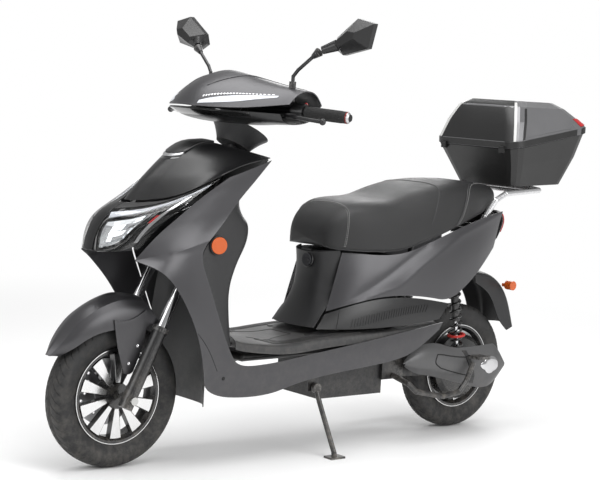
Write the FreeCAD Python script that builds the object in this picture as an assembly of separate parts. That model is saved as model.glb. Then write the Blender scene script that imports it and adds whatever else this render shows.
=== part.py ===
"""Electric moped scooter, built as separate pieces that bolt together.

Frame of the model: +Z up, the front of the scooter faces -Y, +X is the rider's left.
The origin is on the ground under the middle of the overall length.
Lengths are millimetres. Points of the front half are given behind the front axle,
points of the rear half behind the rear axle, so the step-through takes up the wheelbase.
"""
import FreeCAD, Part
import math
import os

V = FreeCAD.Vector

# ---- Driving dimensions ------------------------------------------------------------
WHEELBASE = 1300.0          # front axle to rear axle
BODY_WIDTH = 392.0          # widest point of the painted side fairings
FRONT_OVERHANG = 216.0      # front fender tip ahead of the front axle
REAR_OVERHANG = 390.0       # back of the luggage case behind the rear axle
TYRE_RADIUS = 199.0         # 2.75-10 tyre
TYRE_WIDTH = 76.0
TYRE_WALL = 6.0
CROWN_FLAT = 26.0           # part of the tread that stands on the road
RIM_RADIUS = 127.0          # bead seat of a ten inch rim
RIM_FLANGE = 6.5            # flange height over the bead seat
RIM_WIDTH = 58.0
FLANGE_THICK = 3.0
BEAD_GAP = 0.3
RIM_WALL = 6.0
BLADES = 10
AXLE_RADIUS = 6.0
BEND_SWELL = 0.3            # formed corner over the straight tube
RUNNING_GAP = 0.05          # radial clearance of every turning or sliding fit
PANEL_WALL = 2.5            # moulded panels
PAN_DROP = 0.018 * BODY_WIDTH   # seat pan below the foam's underside

RAKE = math.radians(26.0)
TRAIL_OFFSET = 30.0         # steering axis behind the axle, measured level
FORK_HALF_TRACK = 82.0      # fork leg centre from the middle
STANCHION_RADIUS = 14.0
LOWER_RADIUS = 20.0
FORK_TRAVEL = 45.0
FORK_SLEEVE_TOP = 213.0     # top of the sliding leg, along the leg from the axle
CROWN_AT = 396.0            # underside of the fork crown, along the leg
CROWN_THICK = 26.0
STEM_RADIUS = 13.0
HEAD_TUBE = (450.0, 610.0)  # head tube span along the steering axis
HEAD_BORE = 22.0
HEAD_WALL = 5.0
CUP_HEIGHT = 9.0

BAR_RADIUS = 11.0
BAR_BEND = 25.0             # bend radius of the handlebar
BAR_HEIGHT = 992.0
GRIP_RADIUS = 16.5
GRIP_LENGTH = 122.0
LEVER_RANGE = 18.0

FRAME_TUBE = 15.0           # downtube radius
RAIL_TUBE = 12.0            # rail radius
SWING_PIVOT_RADIUS = 7.0
SWING_HALF_WIDTH = 86.0     # middle of a swingarm leg
SWING_THICK = 14.0
MOTOR_RADIUS = 104.0
MOTOR_WIDTH = 96.0
SHOCK_X = 110.0
ROD_RADIUS = 6.0
SPRING_WIRE = 3.6
SPRING_RADIUS = 20.0

CASE_WIDTH = 358.0
CASE_WALL = 3.0
TUB_HALF_WIDTH = 78.0
RACK_TUBE = 9.0

# Pivots and seats, measured in millimetres behind the front or the rear axle.
LEVER_PIVOT = (209.0, 384.0)             # x, y of the left lever's pin behind the front axle
LEVER_THICK = 7.0
MIRROR_PIVOT = (284.0, 428.0, 1161.0)
CHARGE_X = 14.0                          # charging socket in the pedestal
CHARGE_Z = 556.0
CHARGE_RADIUS = 20.0
TUB_FRONT = -600.0                       # storage tub under the seat
TUB_REAR = -318.0
TUB_LOW = 380.0
TUB_HIGH = 566.0
SEAT_HINGE_Y = -636.0
SEAT_HINGE_Z = 584.0
STAND_PIVOT_Y = -667.0
STAND_PIVOT_Z = 190.0
STAND_X = 114.0
SHOCK_TOP = (-125.0, 510.0)
SHOCK_FOOT = (-82.0, 222.0)
CASE_RIM_FRONT = 905.0                   # luggage case rim, lower in front than behind
CASE_RIM_REAR = 968.0
CASE_FRONT = 34.0
CASE_FLOOR = 786.0
HINGE_Y = 29.0                           # hinge line of the case lid
HINGE_Z = 911.0
HINGE_LUG_RADIUS = 4.0


OVERALL = WHEELBASE + FRONT_OVERHANG + REAR_OVERHANG
FRONT_AXLE_Y = FRONT_OVERHANG - OVERALL / 2
REAR_AXLE_Y = FRONT_AXLE_Y + WHEELBASE
AXLE_Z = TYRE_RADIUS
SPREAD = BODY_WIDTH / 392.0     # panel outlines follow the body width
STEER_DIR = V(0, math.sin(RAKE), math.cos(RAKE))
X_AXIS = V(1, 0, 0)
Y_AXIS = V(0, 1, 0)
Z_AXIS = V(0, 0, 1)


def front(x, y, z):
    """Point given behind the front axle."""
    return V(x, FRONT_AXLE_Y + y, z)


def rear(x, y, z):
    """Point given behind the rear axle."""
    return V(x, REAR_AXLE_Y + y, z)


def fork_point(x, along):
    """Point on a fork leg's line, measured up the leg from the axle."""
    return front(x, 0, AXLE_Z) + STEER_DIR * along


def steer_point(along):
    """Point on the steering axis, measured up from axle height."""
    return front(0, TRAIL_OFFSET, AXLE_Z) + STEER_DIR * along


def rod(start, end, radius):
    """Round bar between two points."""
    run = end - start
    return Part.makeCylinder(radius, run.Length, start, run)


def cone(start, end, radius_start, radius_end):
    run = end - start
    return Part.makeCone(radius_start, radius_end, run.Length, start, run)


def tube(start, end, radius, bore):
    """Round tube between two points."""
    return rod(start, end, radius).cut(rod(start, end, bore))


def box(low, high):
    """Block between two opposite corners."""
    size = high - low
    return Part.makeBox(size.x, size.y, size.z, low)


def fuse(shapes):
    """One solid from several that touch or overlap."""
    return shapes[0].multiFuse(list(shapes[1:])).removeSplitter()


def mirrored(shape):
    return shape.mirror(V(0, 0, 0), X_AXIS)


def pair(shape):
    """Left piece and its mirror image as two solids."""
    return Part.makeCompound([shape, mirrored(shape)])


def bent_bar(points, radius):
    """Round bar along straight runs, with a ball at each bend."""
    pieces = [rod(a, b, radius) for a, b in zip(points, points[1:])]
    pieces += [Part.makeSphere(radius + BEND_SWELL, p) for p in points[1:-1]]
    return fuse(pieces)


def swept_bar(points, radius, bend):
    """Round bar whose straight runs are joined by tangent arcs of one bend radius."""
    edges = []
    start = points[0]
    for before, corner, after in zip(points, points[1:], points[2:]):
        into = (corner - before).normalize()
        out = (after - corner).normalize()
        half = into.getAngle(out) / 2
        setback = bend * math.tan(half)
        middle = corner + (out - into).normalize() * (bend / math.cos(half) - bend)
        edges.append(Part.makeLine(start, corner - into * setback))
        edges.append(Part.Arc(corner - into * setback, middle, corner + out * setback).toShape())
        start = corner + out * setback
    edges.append(Part.makeLine(start, points[-1]))
    section = Part.Wire(Part.makeCircle(radius, points[0], points[1] - points[0]))
    return Part.Wire(edges).makePipeShell([section], True, False)


def spline(points, closed=False):
    curve = Part.BSplineCurve()
    curve.interpolate(Points=points, PeriodicFlag=closed)
    return curve.toShape()


def shell(grid, wall, inside):
    """Moulded panel: a smooth skin led by a grid of points, thickened towards `inside`."""
    rows = len(grid)
    cols = len(grid[0])

    def normal(i, j):
        down = grid[min(i + 1, rows - 1)][j] - grid[max(i - 1, 0)][j]
        across = grid[i][min(j + 1, cols - 1)] - grid[i][max(j - 1, 0)]
        return down.cross(across).normalize()

    normals = [[normal(i, j) for j in range(cols)] for i in range(rows)]
    lean = sum(normals[i][j].dot(inside - grid[i][j]) for i in range(rows) for j in range(cols))
    step = wall if lean > 0 else -wall

    def knots(count):
        spans = count - 2
        return [k / spans for k in range(spans + 1)], [3] + [1] * (spans - 1) + [3]

    def skin(offset):
        poles = [[grid[i][j] + normals[i][j] * offset for j in range(cols)] for i in range(rows)]
        row_knots, row_mults = knots(rows)
        col_knots, col_mults = knots(cols)
        surface = Part.BSplineSurface()
        surface.buildFromPolesMultsKnots(poles, row_mults, col_mults, row_knots, col_knots,
                                         False, False, 2, 2)
        return surface.toShape()

    outer = skin(0.0)
    inner = skin(step)
    faces = [outer.Faces[0], inner.Faces[0]]
    faces += [Part.makeRuledSurface(a, b).Faces[0] for a, b in zip(outer.Edges, inner.Edges)]
    closed = Part.makeShell(faces)
    closed.sewShape()
    solid = Part.makeSolid(closed)
    if solid.Volume < 0:
        solid.reverse()
    return solid


def ribbed_grid(place, ribs, steps=5):
    """Grid from ribs (low point, high point, outward bulge) that a panel is stretched over."""
    grid = []
    for (x0, y0, z0), (x1, y1, z1), bulge in ribs:
        row = []
        for k in range(steps):
            t = k / (steps - 1)
            swell = bulge * 4 * t * (1 - t)
            row.append(place((x0 + (x1 - x0) * t + swell) * SPREAD,
                             y0 + (y1 - y0) * t, z0 + (z1 - z0) * t))
        grid.append(row)
    return grid


def both_sides(half_row):
    """Row of points from the middle outwards, completed with its mirror image."""
    return [V(-p.x, p.y, p.z) for p in reversed(half_row[1:])] + half_row


def spread_row(place, points):
    return both_sides([place(x * SPREAD, y, z) for x, y, z in points])


def rounded_section(half_width, low, high, y, corner, crown=0.0):
    """Closed outline across the scooter: flat bottom, round corners, crowned top."""
    mid = (low + high) / 2
    w = half_width
    half = [(0, low), (w * 0.6, low), (w * 0.93, low + corner * 0.25), (w, mid - corner * 0.2),
            (w * 0.96, high - crown - corner * 0.55), (w * 0.72, high - crown * 0.7),
            (w * 0.36, high - crown * 0.15), (0, high)]
    points = [V(x, y, z) for x, z in half] + [V(-x, y, z) for x, z in reversed(half[1:-1])]
    return Part.Wire([spline(points, closed=True)])


def tyre(centre_y):
    """Tyre revolved from an open C, with a flat crown that stands on the road."""
    h = TYRE_WIDTH / 2
    r = TYRE_RADIUS
    bead = RIM_WIDTH / 2 - FLANGE_THICK - BEAD_GAP
    lip = RIM_RADIUS + RIM_FLANGE + 1.5
    crown = CROWN_FLAT / 2
    side = [V(bead, 0, lip), V((bead + h) / 2, 0, lip + 5), V(h - 2, 0, lip + 14),
            V(h, 0, r - 36), V(h - 9, 0, r - 8), V(crown, 0, r)]
    lining = [V(bead - TYRE_WALL, 0, RIM_RADIUS), V(bead - TYRE_WALL * 0.6, 0, lip + 6),
              V(h - 2 - TYRE_WALL, 0, lip + 16),
              V(h - TYRE_WALL, 0, r - 38), V(h - 12 - TYRE_WALL, 0, r - 6 - TYRE_WALL)]
    foot = V(bead, 0, RIM_RADIUS)

    def flip(points):
        return [V(-p.x, 0, p.z) for p in reversed(points)]

    edges = [Part.makeLine(foot, side[0]),
             spline(side),
             Part.makeLine(side[-1], flip(side)[0]),
             spline(flip(side)),
             Part.makeLine(flip(side)[-1], flip([foot])[0]),
             Part.makeLine(flip([foot])[0], flip(lining)[-1]),
             spline(list(reversed(flip(lining))) + [V(0, 0, r - TYRE_WALL)] + list(reversed(lining))),
             Part.makeLine(lining[0], foot)]
    face = Part.Face(Part.Wire(edges))
    solid = face.revolve(V(0, 0, 0), X_AXIS, 360)
    solid.translate(V(0, centre_y, AXLE_Z))
    return solid


def wheel_ring(outline):
    """Ring turned about the wheel's axis from (radius, x) corners."""
    points = [V(x, 0, r) for r, x in outline]
    face = Part.Face(Part.makePolygon(points + [points[0]]))
    return face.revolve(V(0, 0, 0), X_AXIS, 360).Solids[0]


def rim_channel():
    """Drop-centre rim that holds the tyre's beads."""
    h = RIM_WIDTH / 2
    r = RIM_RADIUS - BEAD_GAP
    top = RIM_RADIUS + RIM_FLANGE
    seat = h - FLANGE_THICK
    return wheel_ring([(top, h), (top, seat), (r, seat), (r - RIM_WALL, h - 16),
                       (r - RIM_WALL, 16 - h), (r, -seat), (top, -seat), (top, -h),
                       (r - 3, -h), (r - 2 * RIM_WALL, 12 - h), (r - 2 * RIM_WALL, h - 12),
                       (r - 3, h)])


def front_rim():
    """Cast rim with flat blades that widen outwards, and the hub."""
    hub_half = 32.0
    hub = wheel_ring([(34, hub_half), (AXLE_RADIUS + RUNNING_GAP, hub_half),
                      (AXLE_RADIUS + RUNNING_GAP, -hub_half), (34, -hub_half)])
    tip = RIM_RADIUS - 1.6 * RIM_WALL
    blade_root = 7.0
    blade_tip = 18.0
    blade_face = 20.0
    corners = [V(6, -blade_root, 28), V(6, blade_root, 28), V(6, blade_tip, tip), V(6, -blade_tip, tip)]
    blade = Part.Face(Part.makePolygon(corners + [corners[0]])).extrude(V(blade_face, 0, 0))
    blades = []
    for k in range(BLADES):
        turned = blade.copy()
        turned.rotate(V(0, 0, 0), X_AXIS, 360.0 * k / BLADES)
        blades.append(turned)
    rim = fuse([rim_channel(), hub] + blades)
    rim.translate(V(0, FRONT_AXLE_Y, AXLE_Z))
    return rim


def front_disc():
    """Drilled brake disc bolted to the right of the hub."""
    disc_x = -36.0
    thick = 3.5
    disc = wheel_ring([(92, disc_x), (92, disc_x - thick), (34.5, disc_x - thick), (34.5, disc_x)])
    spacer = wheel_ring([(34.2, -32.2), (34.2, disc_x - thick), (AXLE_RADIUS + 6, disc_x - thick),
                         (AXLE_RADIUS + 6, -32.2)])
    holes = []
    for k in range(24):
        angle = math.radians(15 * k)
        radius = 64 + 14 * (k % 2)
        spot = V(disc_x - thick - 1, radius * math.sin(angle), radius * math.cos(angle))
        holes.append(Part.makeCylinder(4.0, thick + 2, spot, X_AXIS))
    for k in range(5):
        angle = math.radians(72 * k)
        spot = V(disc_x - thick - 1, 46 * math.sin(angle), 46 * math.cos(angle))
        holes.append(Part.makeCylinder(6.5, thick + 2, spot, X_AXIS))
    plate = disc.cut(Part.makeCompound(holes))
    web = wheel_ring([(35, disc_x), (35, disc_x - thick), (34, disc_x - thick), (34, disc_x)])
    whole = fuse([plate, web, spacer])
    whole.translate(V(0, FRONT_AXLE_Y, AXLE_Z))
    return whole


def front_axle():
    half = FORK_HALF_TRACK + LOWER_RADIUS + BEAD_GAP
    nut = 9.0
    bar = rod(front(-half - nut, 0, AXLE_Z), front(half + nut, 0, AXLE_Z), AXLE_RADIUS)
    nuts = [rod(front(s * half, 0, AXLE_Z), front(s * (half + nut), 0, AXLE_Z), 11) for s in (-1, 1)]
    return fuse([bar] + nuts)


def fork_lowers():
    """Sliding fork legs, bored for the stanchions and the axle."""
    legs = []
    for side in (-1, 1):
        x = side * FORK_HALF_TRACK
        leg = rod(fork_point(x, -26), fork_point(x, FORK_SLEEVE_TOP), LOWER_RADIUS)
        seal = rod(fork_point(x, FORK_SLEEVE_TOP - 14), fork_point(x, FORK_SLEEVE_TOP), LOWER_RADIUS + 3)
        bore = rod(fork_point(x, 10), fork_point(x, FORK_SLEEVE_TOP + 1), STANCHION_RADIUS + RUNNING_GAP)
        axle_hole = rod(front(x - 40, 0, AXLE_Z), front(x + 40, 0, AXLE_Z), AXLE_RADIUS + RUNNING_GAP)
        lug = rod(front(x - side * (LOWER_RADIUS + 6), 0, AXLE_Z),
                  front(x + side * (LOWER_RADIUS - 4.5), 0, AXLE_Z), 17)
        legs.append(fuse([leg, seal, lug]).cut(bore).cut(axle_hole))
    return Part.makeCompound(legs)


def fork_stanchions():
    """Chromed tubes and the crown that clamps them."""
    pieces = []
    bottom = FORK_TRAVEL + 25
    for side in (-1, 1):
        x = side * FORK_HALF_TRACK
        pieces.append(rod(fork_point(x, bottom), fork_point(x, CROWN_AT + CROWN_THICK), STANCHION_RADIUS))
        pieces.append(rod(fork_point(x, CROWN_AT), fork_point(x, CROWN_AT + CROWN_THICK),
                          STANCHION_RADIUS + 7))
    start = fork_point(-FORK_HALF_TRACK, CROWN_AT + CROWN_THICK / 2)
    end = fork_point(FORK_HALF_TRACK, CROWN_AT + CROWN_THICK / 2)
    middle = steer_point(CROWN_AT + CROWN_THICK / 2)
    pieces += [rod(start, middle, 12), rod(middle, end, 12), Part.makeSphere(17, middle)]
    socket = rod(steer_point(CROWN_AT - 10), steer_point(CROWN_AT + 45), STEM_RADIUS)
    return fuse(pieces).cut(socket)


def bar_line(side):
    """Middle line of one half of the handlebar, from the stem clamp to the bar end."""
    centre = front(0, 416, BAR_HEIGHT)
    return [centre, front(side * 60, 416, BAR_HEIGHT), front(side * 190, 417.6, BAR_HEIGHT + 2.4),
            front(side * 350, 487, BAR_HEIGHT - 7.3)]


def grip_direction(side):
    line = bar_line(side)
    return (line[3] - line[2]).normalize()


def on_grip(side, along):
    """Point on the grip's axis, measured from the bar's bend."""
    return bar_line(side)[2] + grip_direction(side) * along


def handlebar():
    """Bar and its clamp on top of the stem."""
    bar = swept_bar(bar_line(-1)[:0:-1] + bar_line(1)[1:], BAR_RADIUS, BAR_BEND)
    clamp_top = (BAR_HEIGHT - AXLE_Z) / math.cos(RAKE)
    clamp = rod(steer_point(clamp_top - 34), steer_point(clamp_top + 12), STEM_RADIUS + 9)
    return fuse([bar, clamp])


def steering_stem():
    """Steering tube that runs through the head tube bearings."""
    top = (BAR_HEIGHT - AXLE_Z) / math.cos(RAKE) - 34
    stem = rod(steer_point(CROWN_AT - 10), steer_point(top), STEM_RADIUS)
    race = rod(steer_point(HEAD_TUBE[1] + 1), steer_point(HEAD_TUBE[1] + 12), STEM_RADIUS + 12)
    return fuse([stem, race])


def headset_bearings():
    """Bearing cups pressed into both ends of the head tube."""
    low, high = HEAD_TUBE
    bore = STEM_RADIUS + RUNNING_GAP
    cups = [tube(steer_point(low), steer_point(low + CUP_HEIGHT), HEAD_BORE, bore),
            tube(steer_point(high - CUP_HEIGHT), steer_point(high), HEAD_BORE, bore)]
    return Part.makeCompound(cups)


def left_grip():
    start = on_grip(1, 44)
    end = on_grip(1, 44 + GRIP_LENGTH)
    cap = on_grip(1, 44 + GRIP_LENGTH + 14)
    grip = fuse([rod(start, end, GRIP_RADIUS), cone(end, cap, GRIP_RADIUS, 9)])
    return grip.cut(rod(start, on_grip(1, 175), BAR_RADIUS + RUNNING_GAP))


def throttle_grip():
    """Twist grip that turns on the right of the bar."""
    return mirrored(left_grip())


def switch_pods():
    """Switch housings and lever perches clamped on the bar inside the cowl."""
    start = on_grip(1, 6)
    end = on_grip(1, 40)
    pod = rod(start, end, 23)
    perch = box(front(196, 372, BAR_HEIGHT - 19), front(222, 412, BAR_HEIGHT - 5))
    slot = box(front(190, 362, BAR_HEIGHT - 16), front(236, 399, BAR_HEIGHT - 8))
    solid = fuse([pod, perch]).cut(slot)
    button_hole = Part.makeCylinder(5 + RUNNING_GAP, 20, on_grip(1, 25) + V(0, 8, 10),
                                    V(0, 0.75, 0.66))
    solid = solid.cut(rod(start - (end - start), end + (end - start), BAR_RADIUS + RUNNING_GAP))
    return Part.makeCompound([solid.cut(button_hole), mirrored(solid)])


def horn_button():
    """Push button in the left switch housing."""
    base = on_grip(1, 25) + V(0, 8, 10) + V(0, 0.75, 0.66).normalize() * 7
    return Part.makeCylinder(5, 11, base, V(0, 0.75, 0.66))


def left_lever():
    """Brake lever: flat root in the perch, curved blade and ball end."""
    z = BAR_HEIGHT - 12
    pin_x, pin_y = LEVER_PIVOT
    half = LEVER_THICK / 2
    eye_radius = 8.0
    blade_radius = 5.5
    eye = Part.makeCylinder(eye_radius, LEVER_THICK, front(pin_x, pin_y, z - half), Z_AXIS)
    root = box(front(pin_x, pin_y - eye_radius, z - half), front(pin_x + 30, pin_y + eye_radius, z + half))
    blade = swept_bar([front(234, 384, z), front(262, 376, z - 2), front(310, 382, z - 6),
                       front(349, 391, z - 9)], blade_radius, 30)
    ball = Part.makeSphere(9, front(351, 392, z - 9))
    return fuse([eye, root, blade, ball])


def right_lever():
    return mirrored(left_lever())


def cowl_section(x, ys, zs):
    return [front(x, y, z) for y, z in zip(ys, zs)]


def bar_cowl():
    """Handlebar cowl: peaked top cover, flat bottom cover and the flared neck."""
    top_lines = [
        (0, (172, 205, 265, 335, 372, 455, 530, 552), (996, 1043, 1080, 1102, 1092, 1068, 1040, 1000)),
        (60, (180, 215, 275, 345, 385, 455, 530, 550), (994, 1036, 1070, 1092, 1083, 1062, 1036, 1000)),
        (120, (222, 255, 305, 365, 410, 465, 525, 543), (993, 1026, 1053, 1072, 1070, 1056, 1030, 999)),
        (180, (290, 315, 350, 390, 430, 470, 508, 524), (998, 1020, 1040, 1058, 1058, 1046, 1022, 999)),
        (232, (372, 385, 402, 425, 448, 466, 480, 488), (1012, 1026, 1040, 1050, 1050, 1042, 1026, 1012)),
    ]
    rows = []
    for x, ys, zs in top_lines:
        rows.append(cowl_section(x, ys, zs))
    rows = [[V(-p.x, p.y, p.z) for p in row] for row in reversed(rows[1:])] + rows
    top = shell(rows, PANEL_WALL, front(0, 370, 985))
    low_lines = [
        (0, (174, 206, 290, 400, 500, 550), (988, 966, 950, 944, 950, 990)),
        (60, (182, 214, 292, 400, 500, 548), (987, 966, 950, 944, 951, 990)),
        (120, (224, 250, 310, 400, 490, 541), (985, 968, 955, 950, 958, 990)),
        (180, (292, 308, 345, 400, 480, 521), (985, 968, 956, 952, 960, 990)),
        (222, (350, 358, 376, 405, 455, 492), (984, 966, 957, 955, 963, 984)),
    ]
    rows = []
    for x, ys, zs in low_lines:
        rows.append(cowl_section(x, ys, zs))
    rows = [[V(-p.x, p.y, p.z) for p in row] for row in reversed(rows[1:])] + rows
    bottom = shell(rows, PANEL_WALL, front(0, 370, 1000))
    neck_low = steer_point(762)
    neck_high = steer_point(815)
    stem_hole = rod(neck_low, steer_point(900), STEM_RADIUS + 14)
    neck_outer = cone(neck_low, neck_high, 52, 86)
    neck_inner = cone(neck_low - STEER_DIR, neck_high + STEER_DIR, 49, 83)
    for side in (1, -1):
        top = top.cut(rod(front(side * 189, 414, 1020), front(side * 189, 414, 1100), 11))
    return Part.makeCompound([top, bottom.cut(stem_hole), neck_outer.cut(neck_inner)])


def dash_display():
    """Instrument under its window in the rider's side of the cowl."""
    centre = front(0, 470, 1042)
    plate = Part.makeBox(120, 62, 10, V(-60, -31, -10))
    plate.rotate(V(0, 0, 0), X_AXIS, -17)
    plate.translate(centre)
    return plate


def mirror_arms():
    """Bent rods that screw into the bar perches through the cowl."""
    line = [front(189, 414, 1060), front(190, 414, 1088), front(206, 417, 1106), front(266, 425, 1150)]
    arm = bent_bar(line, 5.0)
    collar = rod(front(189, 414, 1056), front(189.5, 414, 1074), 9.5)
    socket = cone(front(258, 424, 1144), front(278, 427, 1157), 7, 13)
    perch = rod(front(189, 414, 1056), front(192, 416, 1019), 7)
    return pair(fuse([arm, collar, socket, perch]))


def mirror_head():
    """Faceted mirror housing with a ball neck."""
    outline = [(293, 1170), (303, 1200), (381, 1251), (447, 1238), (428, 1172), (330, 1152)]
    ridge = [(330, 1180), (335, 1190), (375, 1215), (405, 1212), (400, 1196), (345, 1172)]
    back = Part.makePolygon([front(x, 482, z) for x, z in outline + outline[:1]])
    lip = Part.makePolygon([front(x, 468, z) for x, z in outline + outline[:1]])
    peak = Part.makePolygon([front(x, 436, z) for x, z in ridge + ridge[:1]])
    cup = Part.makeLoft([back, lip], True, True)
    facets = Part.makeLoft([lip, peak], True, True)
    neck = cone(front(285, 432, 1162), front(318, 456, 1178), 11, 16)
    housing = fuse([cup, facets, neck])
    inset = [(x + (372 - x) * 0.07, z + (1200 - z) * 0.07) for x, z in outline]
    pocket = Part.makePolygon([front(x, 478, z) for x, z in inset + inset[:1]])
    mouth = Part.makePolygon([front(x, 484, z) for x, z in inset + inset[:1]])
    return housing.cut(Part.makeLoft([pocket, mouth], True, True))


def front_fender():
    """Mudguard over the front wheel, with side tabs that bolt to the fork legs."""
    rows = []
    stations = [(-216, 320, 12, 4), (-196, 352, 40, 16), (-150, 412, 52, 40), (-100, 448, 56, 62),
                (-45, 472, 58, 84), (0, 480, 60, 92), (52, 470, 62, 70)]
    for y, z, half, drop in stations:
        lean = drop * 0.35
        rows.append(both_sides([front(0, y, z), front(half * 0.45, y + 4, z - 3),
                                front(half * 0.9, y + 12, z - drop * 0.3),
                                front(half, y + 22 + lean * 0.3, z - drop * 0.65),
                                front(half + 1, y + 34 + lean * 0.6, z - drop)]))
    guard = shell(rows, PANEL_WALL, front(0, 0, AXLE_Z))
    tab_x = FORK_HALF_TRACK - LOWER_RADIUS - 4
    corners = [(-20, 410), (42, 424), (52, 340), (20, 268), (-4, 268), (-30, 340)]
    wire = Part.makePolygon([front(tab_x, y, z) for y, z in corners + corners[:1]])
    tab = Part.Face(wire).extrude(V(PANEL_WALL, 0, 0))
    bolts = [rod(front(tab_x - 4, y, z), front(tab_x + 8, y, z), 5) for y, z in ((8, 293), (34, 340))]
    side = fuse([tab] + bolts)
    return Part.makeCompound([fuse([guard, side, mirrored(side)])])


def brake_caliper():
    """Front caliper bolted inside the right fork leg, astride the disc."""
    inner_face = LOWER_RADIUS + BEAD_GAP - FORK_HALF_TRACK
    low = front(inner_face, 40, AXLE_Z + 22)
    body = box(low, front(-20, 80, AXLE_Z + 78))
    slot = box(front(-42.5, 20, AXLE_Z + 10), front(-33, 100, AXLE_Z + 100))
    bridge = box(front(inner_face, 72, AXLE_Z + 66), front(-20, 80, AXLE_Z + 78))
    bolts = [rod(front(-22, 52, AXLE_Z + z), front(-16, 52, AXLE_Z + z), 5) for z in (34, 64)]
    return fuse([body.cut(slot), bridge] + bolts)


def nose_hood():
    """Black centre panel from the nose up to the deck in front of the neck."""
    rows = [
        [(0, 2, 730), (45, 46, 734), (90, 98, 745), (130, 152, 773), (163, 206, 812)],
        [(0, 40, 772), (45, 78, 777), (90, 132, 787), (130, 188, 807), (160, 244, 827)],
        [(0, 92, 817), (43, 122, 821), (86, 176, 826), (125, 238, 838), (153, 298, 843)],
        [(0, 148, 862), (40, 168, 864), (80, 212, 860), (118, 282, 857), (146, 346, 852)],
        [(0, 205, 894), (38, 220, 893), (75, 262, 885), (108, 322, 872), (138, 380, 858)],
        [(0, 262, 897), (40, 268, 893), (76, 302, 885), (106, 344, 874), (134, 396, 860)],
    ]
    grid = [spread_row(front, row) for row in rows]
    return shell(grid, PANEL_WALL, front(0, 250, 700))


def headlight_shape(grow):
    """Headlight skin from the nose's tip to the swept corners, moved forwards by grow."""
    rows = [
        [(0, -104, 594), (45, -92, 596), (90, -62, 601), (112, -30, 606), (118, -14, 612)],
        [(0, -100, 625), (45, -90, 628), (92, -60, 632), (122, -22, 640), (132, 10, 652)],
        [(0, -82, 672), (45, -70, 676), (92, -38, 682), (130, 20, 694), (148, 70, 706)],
        [(0, -50, 712), (45, -28, 712), (92, 20, 716), (134, 80, 735), (158, 135, 758)],
        [(0, -14, 724), (45, 26, 726), (91, 84, 736), (132, 142, 764), (165, 200, 802)],
    ]
    grid = []
    for row in rows:
        grid.append([p + V(0, -grow * 0.8, grow * 0.6) for p in spread_row(front, row)])
    return grid


def headlight_lens():
    """Clear cover of the twin headlight."""
    return shell(headlight_shape(0.0), PANEL_WALL, front(0, 150, 650))


def headlight_housing():
    """Reflector housing, a dished tray behind the lens."""
    grid = [[p + V(-p.x * 0.06, 16, -5) for p in row] for row in headlight_shape(0.0)]
    return shell(grid, PANEL_WALL, front(0, 150, 650))


FAIRING_RIBS_FRONT = [
    ((165, 236, 806), (141, 396, 853), 2),
    ((163, 158, 760), (152, 338, 800), 5),
    ((154, 86, 702), (156, 276, 742), 9),
    ((140, 20, 645), (160, 232, 690), 12),
    ((132, -38, 582), (168, 170, 630), 14),
    ((188, 24, 556), (172, 146, 592), -4),
    ((182, 92, 482), (172, 186, 505), -2),
    ((174, 150, 385), (172, 226, 408), 0),
    ((170, 178, 295), (172, 262, 330), 2),
    ((166, 190, 205), (172, 296, 282), 3),
]
FAIRING_RIBS_REAR = [
    ((166, -905, 190), (172, -880, 286), 3),
    ((166, -773, 226), (172, -770, 300), 3),
    ((166, -640, 242), (172, -640, 316), 3),
    ((166, -522, 252), (171, -520, 330), 3),
    ((165, -418, 262), (170, -418, 344), 2),
    ((164, -319, 284), (168, -315, 357), 2),
    ((164, -228, 348), (166, -215, 371), 0),
]


def side_fairings():
    """Painted side panels: apron beside the headlight, front edge and skirt under the floor."""
    grid = ribbed_grid(front, FAIRING_RIBS_FRONT) + ribbed_grid(rear, FAIRING_RIBS_REAR)
    return pair(shell(grid, PANEL_WALL, front(0, 400, 450)))


def leg_shield():
    """Inner panel that faces the rider's legs, with a knee-high box and side walls."""
    rows = [
        [(0, 446, 856), (60, 436, 856), (105, 412, 855), (128, 396, 852), (132, 384, 846)],
        [(0, 400, 800), (60, 390, 800), (112, 345, 798), (138, 318, 792), (142, 305, 788)],
        [(0, 362, 742), (60, 352, 742), (118, 300, 742), (144, 268, 740), (148, 250, 736)],
        [(0, 356, 700), (60, 350, 700), (122, 320, 698), (148, 285, 697), (154, 232, 686)],
        [(0, 358, 680), (60, 358, 678), (124, 350, 674), (152, 300, 672), (164, 172, 622)],
        [(0, 360, 626), (60, 360, 626), (124, 348, 626), (154, 290, 612), (167, 152, 590)],
        [(0, 336, 572), (60, 334, 572), (126, 310, 572), (158, 270, 556), (168, 176, 532)],
        [(0, 322, 510), (60, 320, 510), (128, 280, 510), (160, 256, 490), (168, 200, 476)],
        [(0, 322, 440), (60, 320, 440), (130, 280, 436), (160, 262, 420), (168, 226, 412)],
        [(0, 326, 372), (60, 324, 372), (132, 288, 364), (158, 276, 346), (167, 262, 336)],
    ]
    grid = [spread_row(front, row) for row in rows]
    return shell(grid, PANEL_WALL, front(0, 150, 600))


def wheel_arch():
    """Inner mudguard between the front wheel and the frame."""
    rows = []
    for y, z, half in ((250, 168, 92), (240, 240, 104), (240, 320, 112), (246, 410, 118),
                       (258, 480, 122), (272, 545, 124)):
        rows.append(both_sides([front(0, y, z), front(half * 0.5, y, z), front(half, y - 6, z),
                                front(half + 26, y - 30, z)]))
    return shell(rows, PANEL_WALL, front(0, 400, 350))


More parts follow.
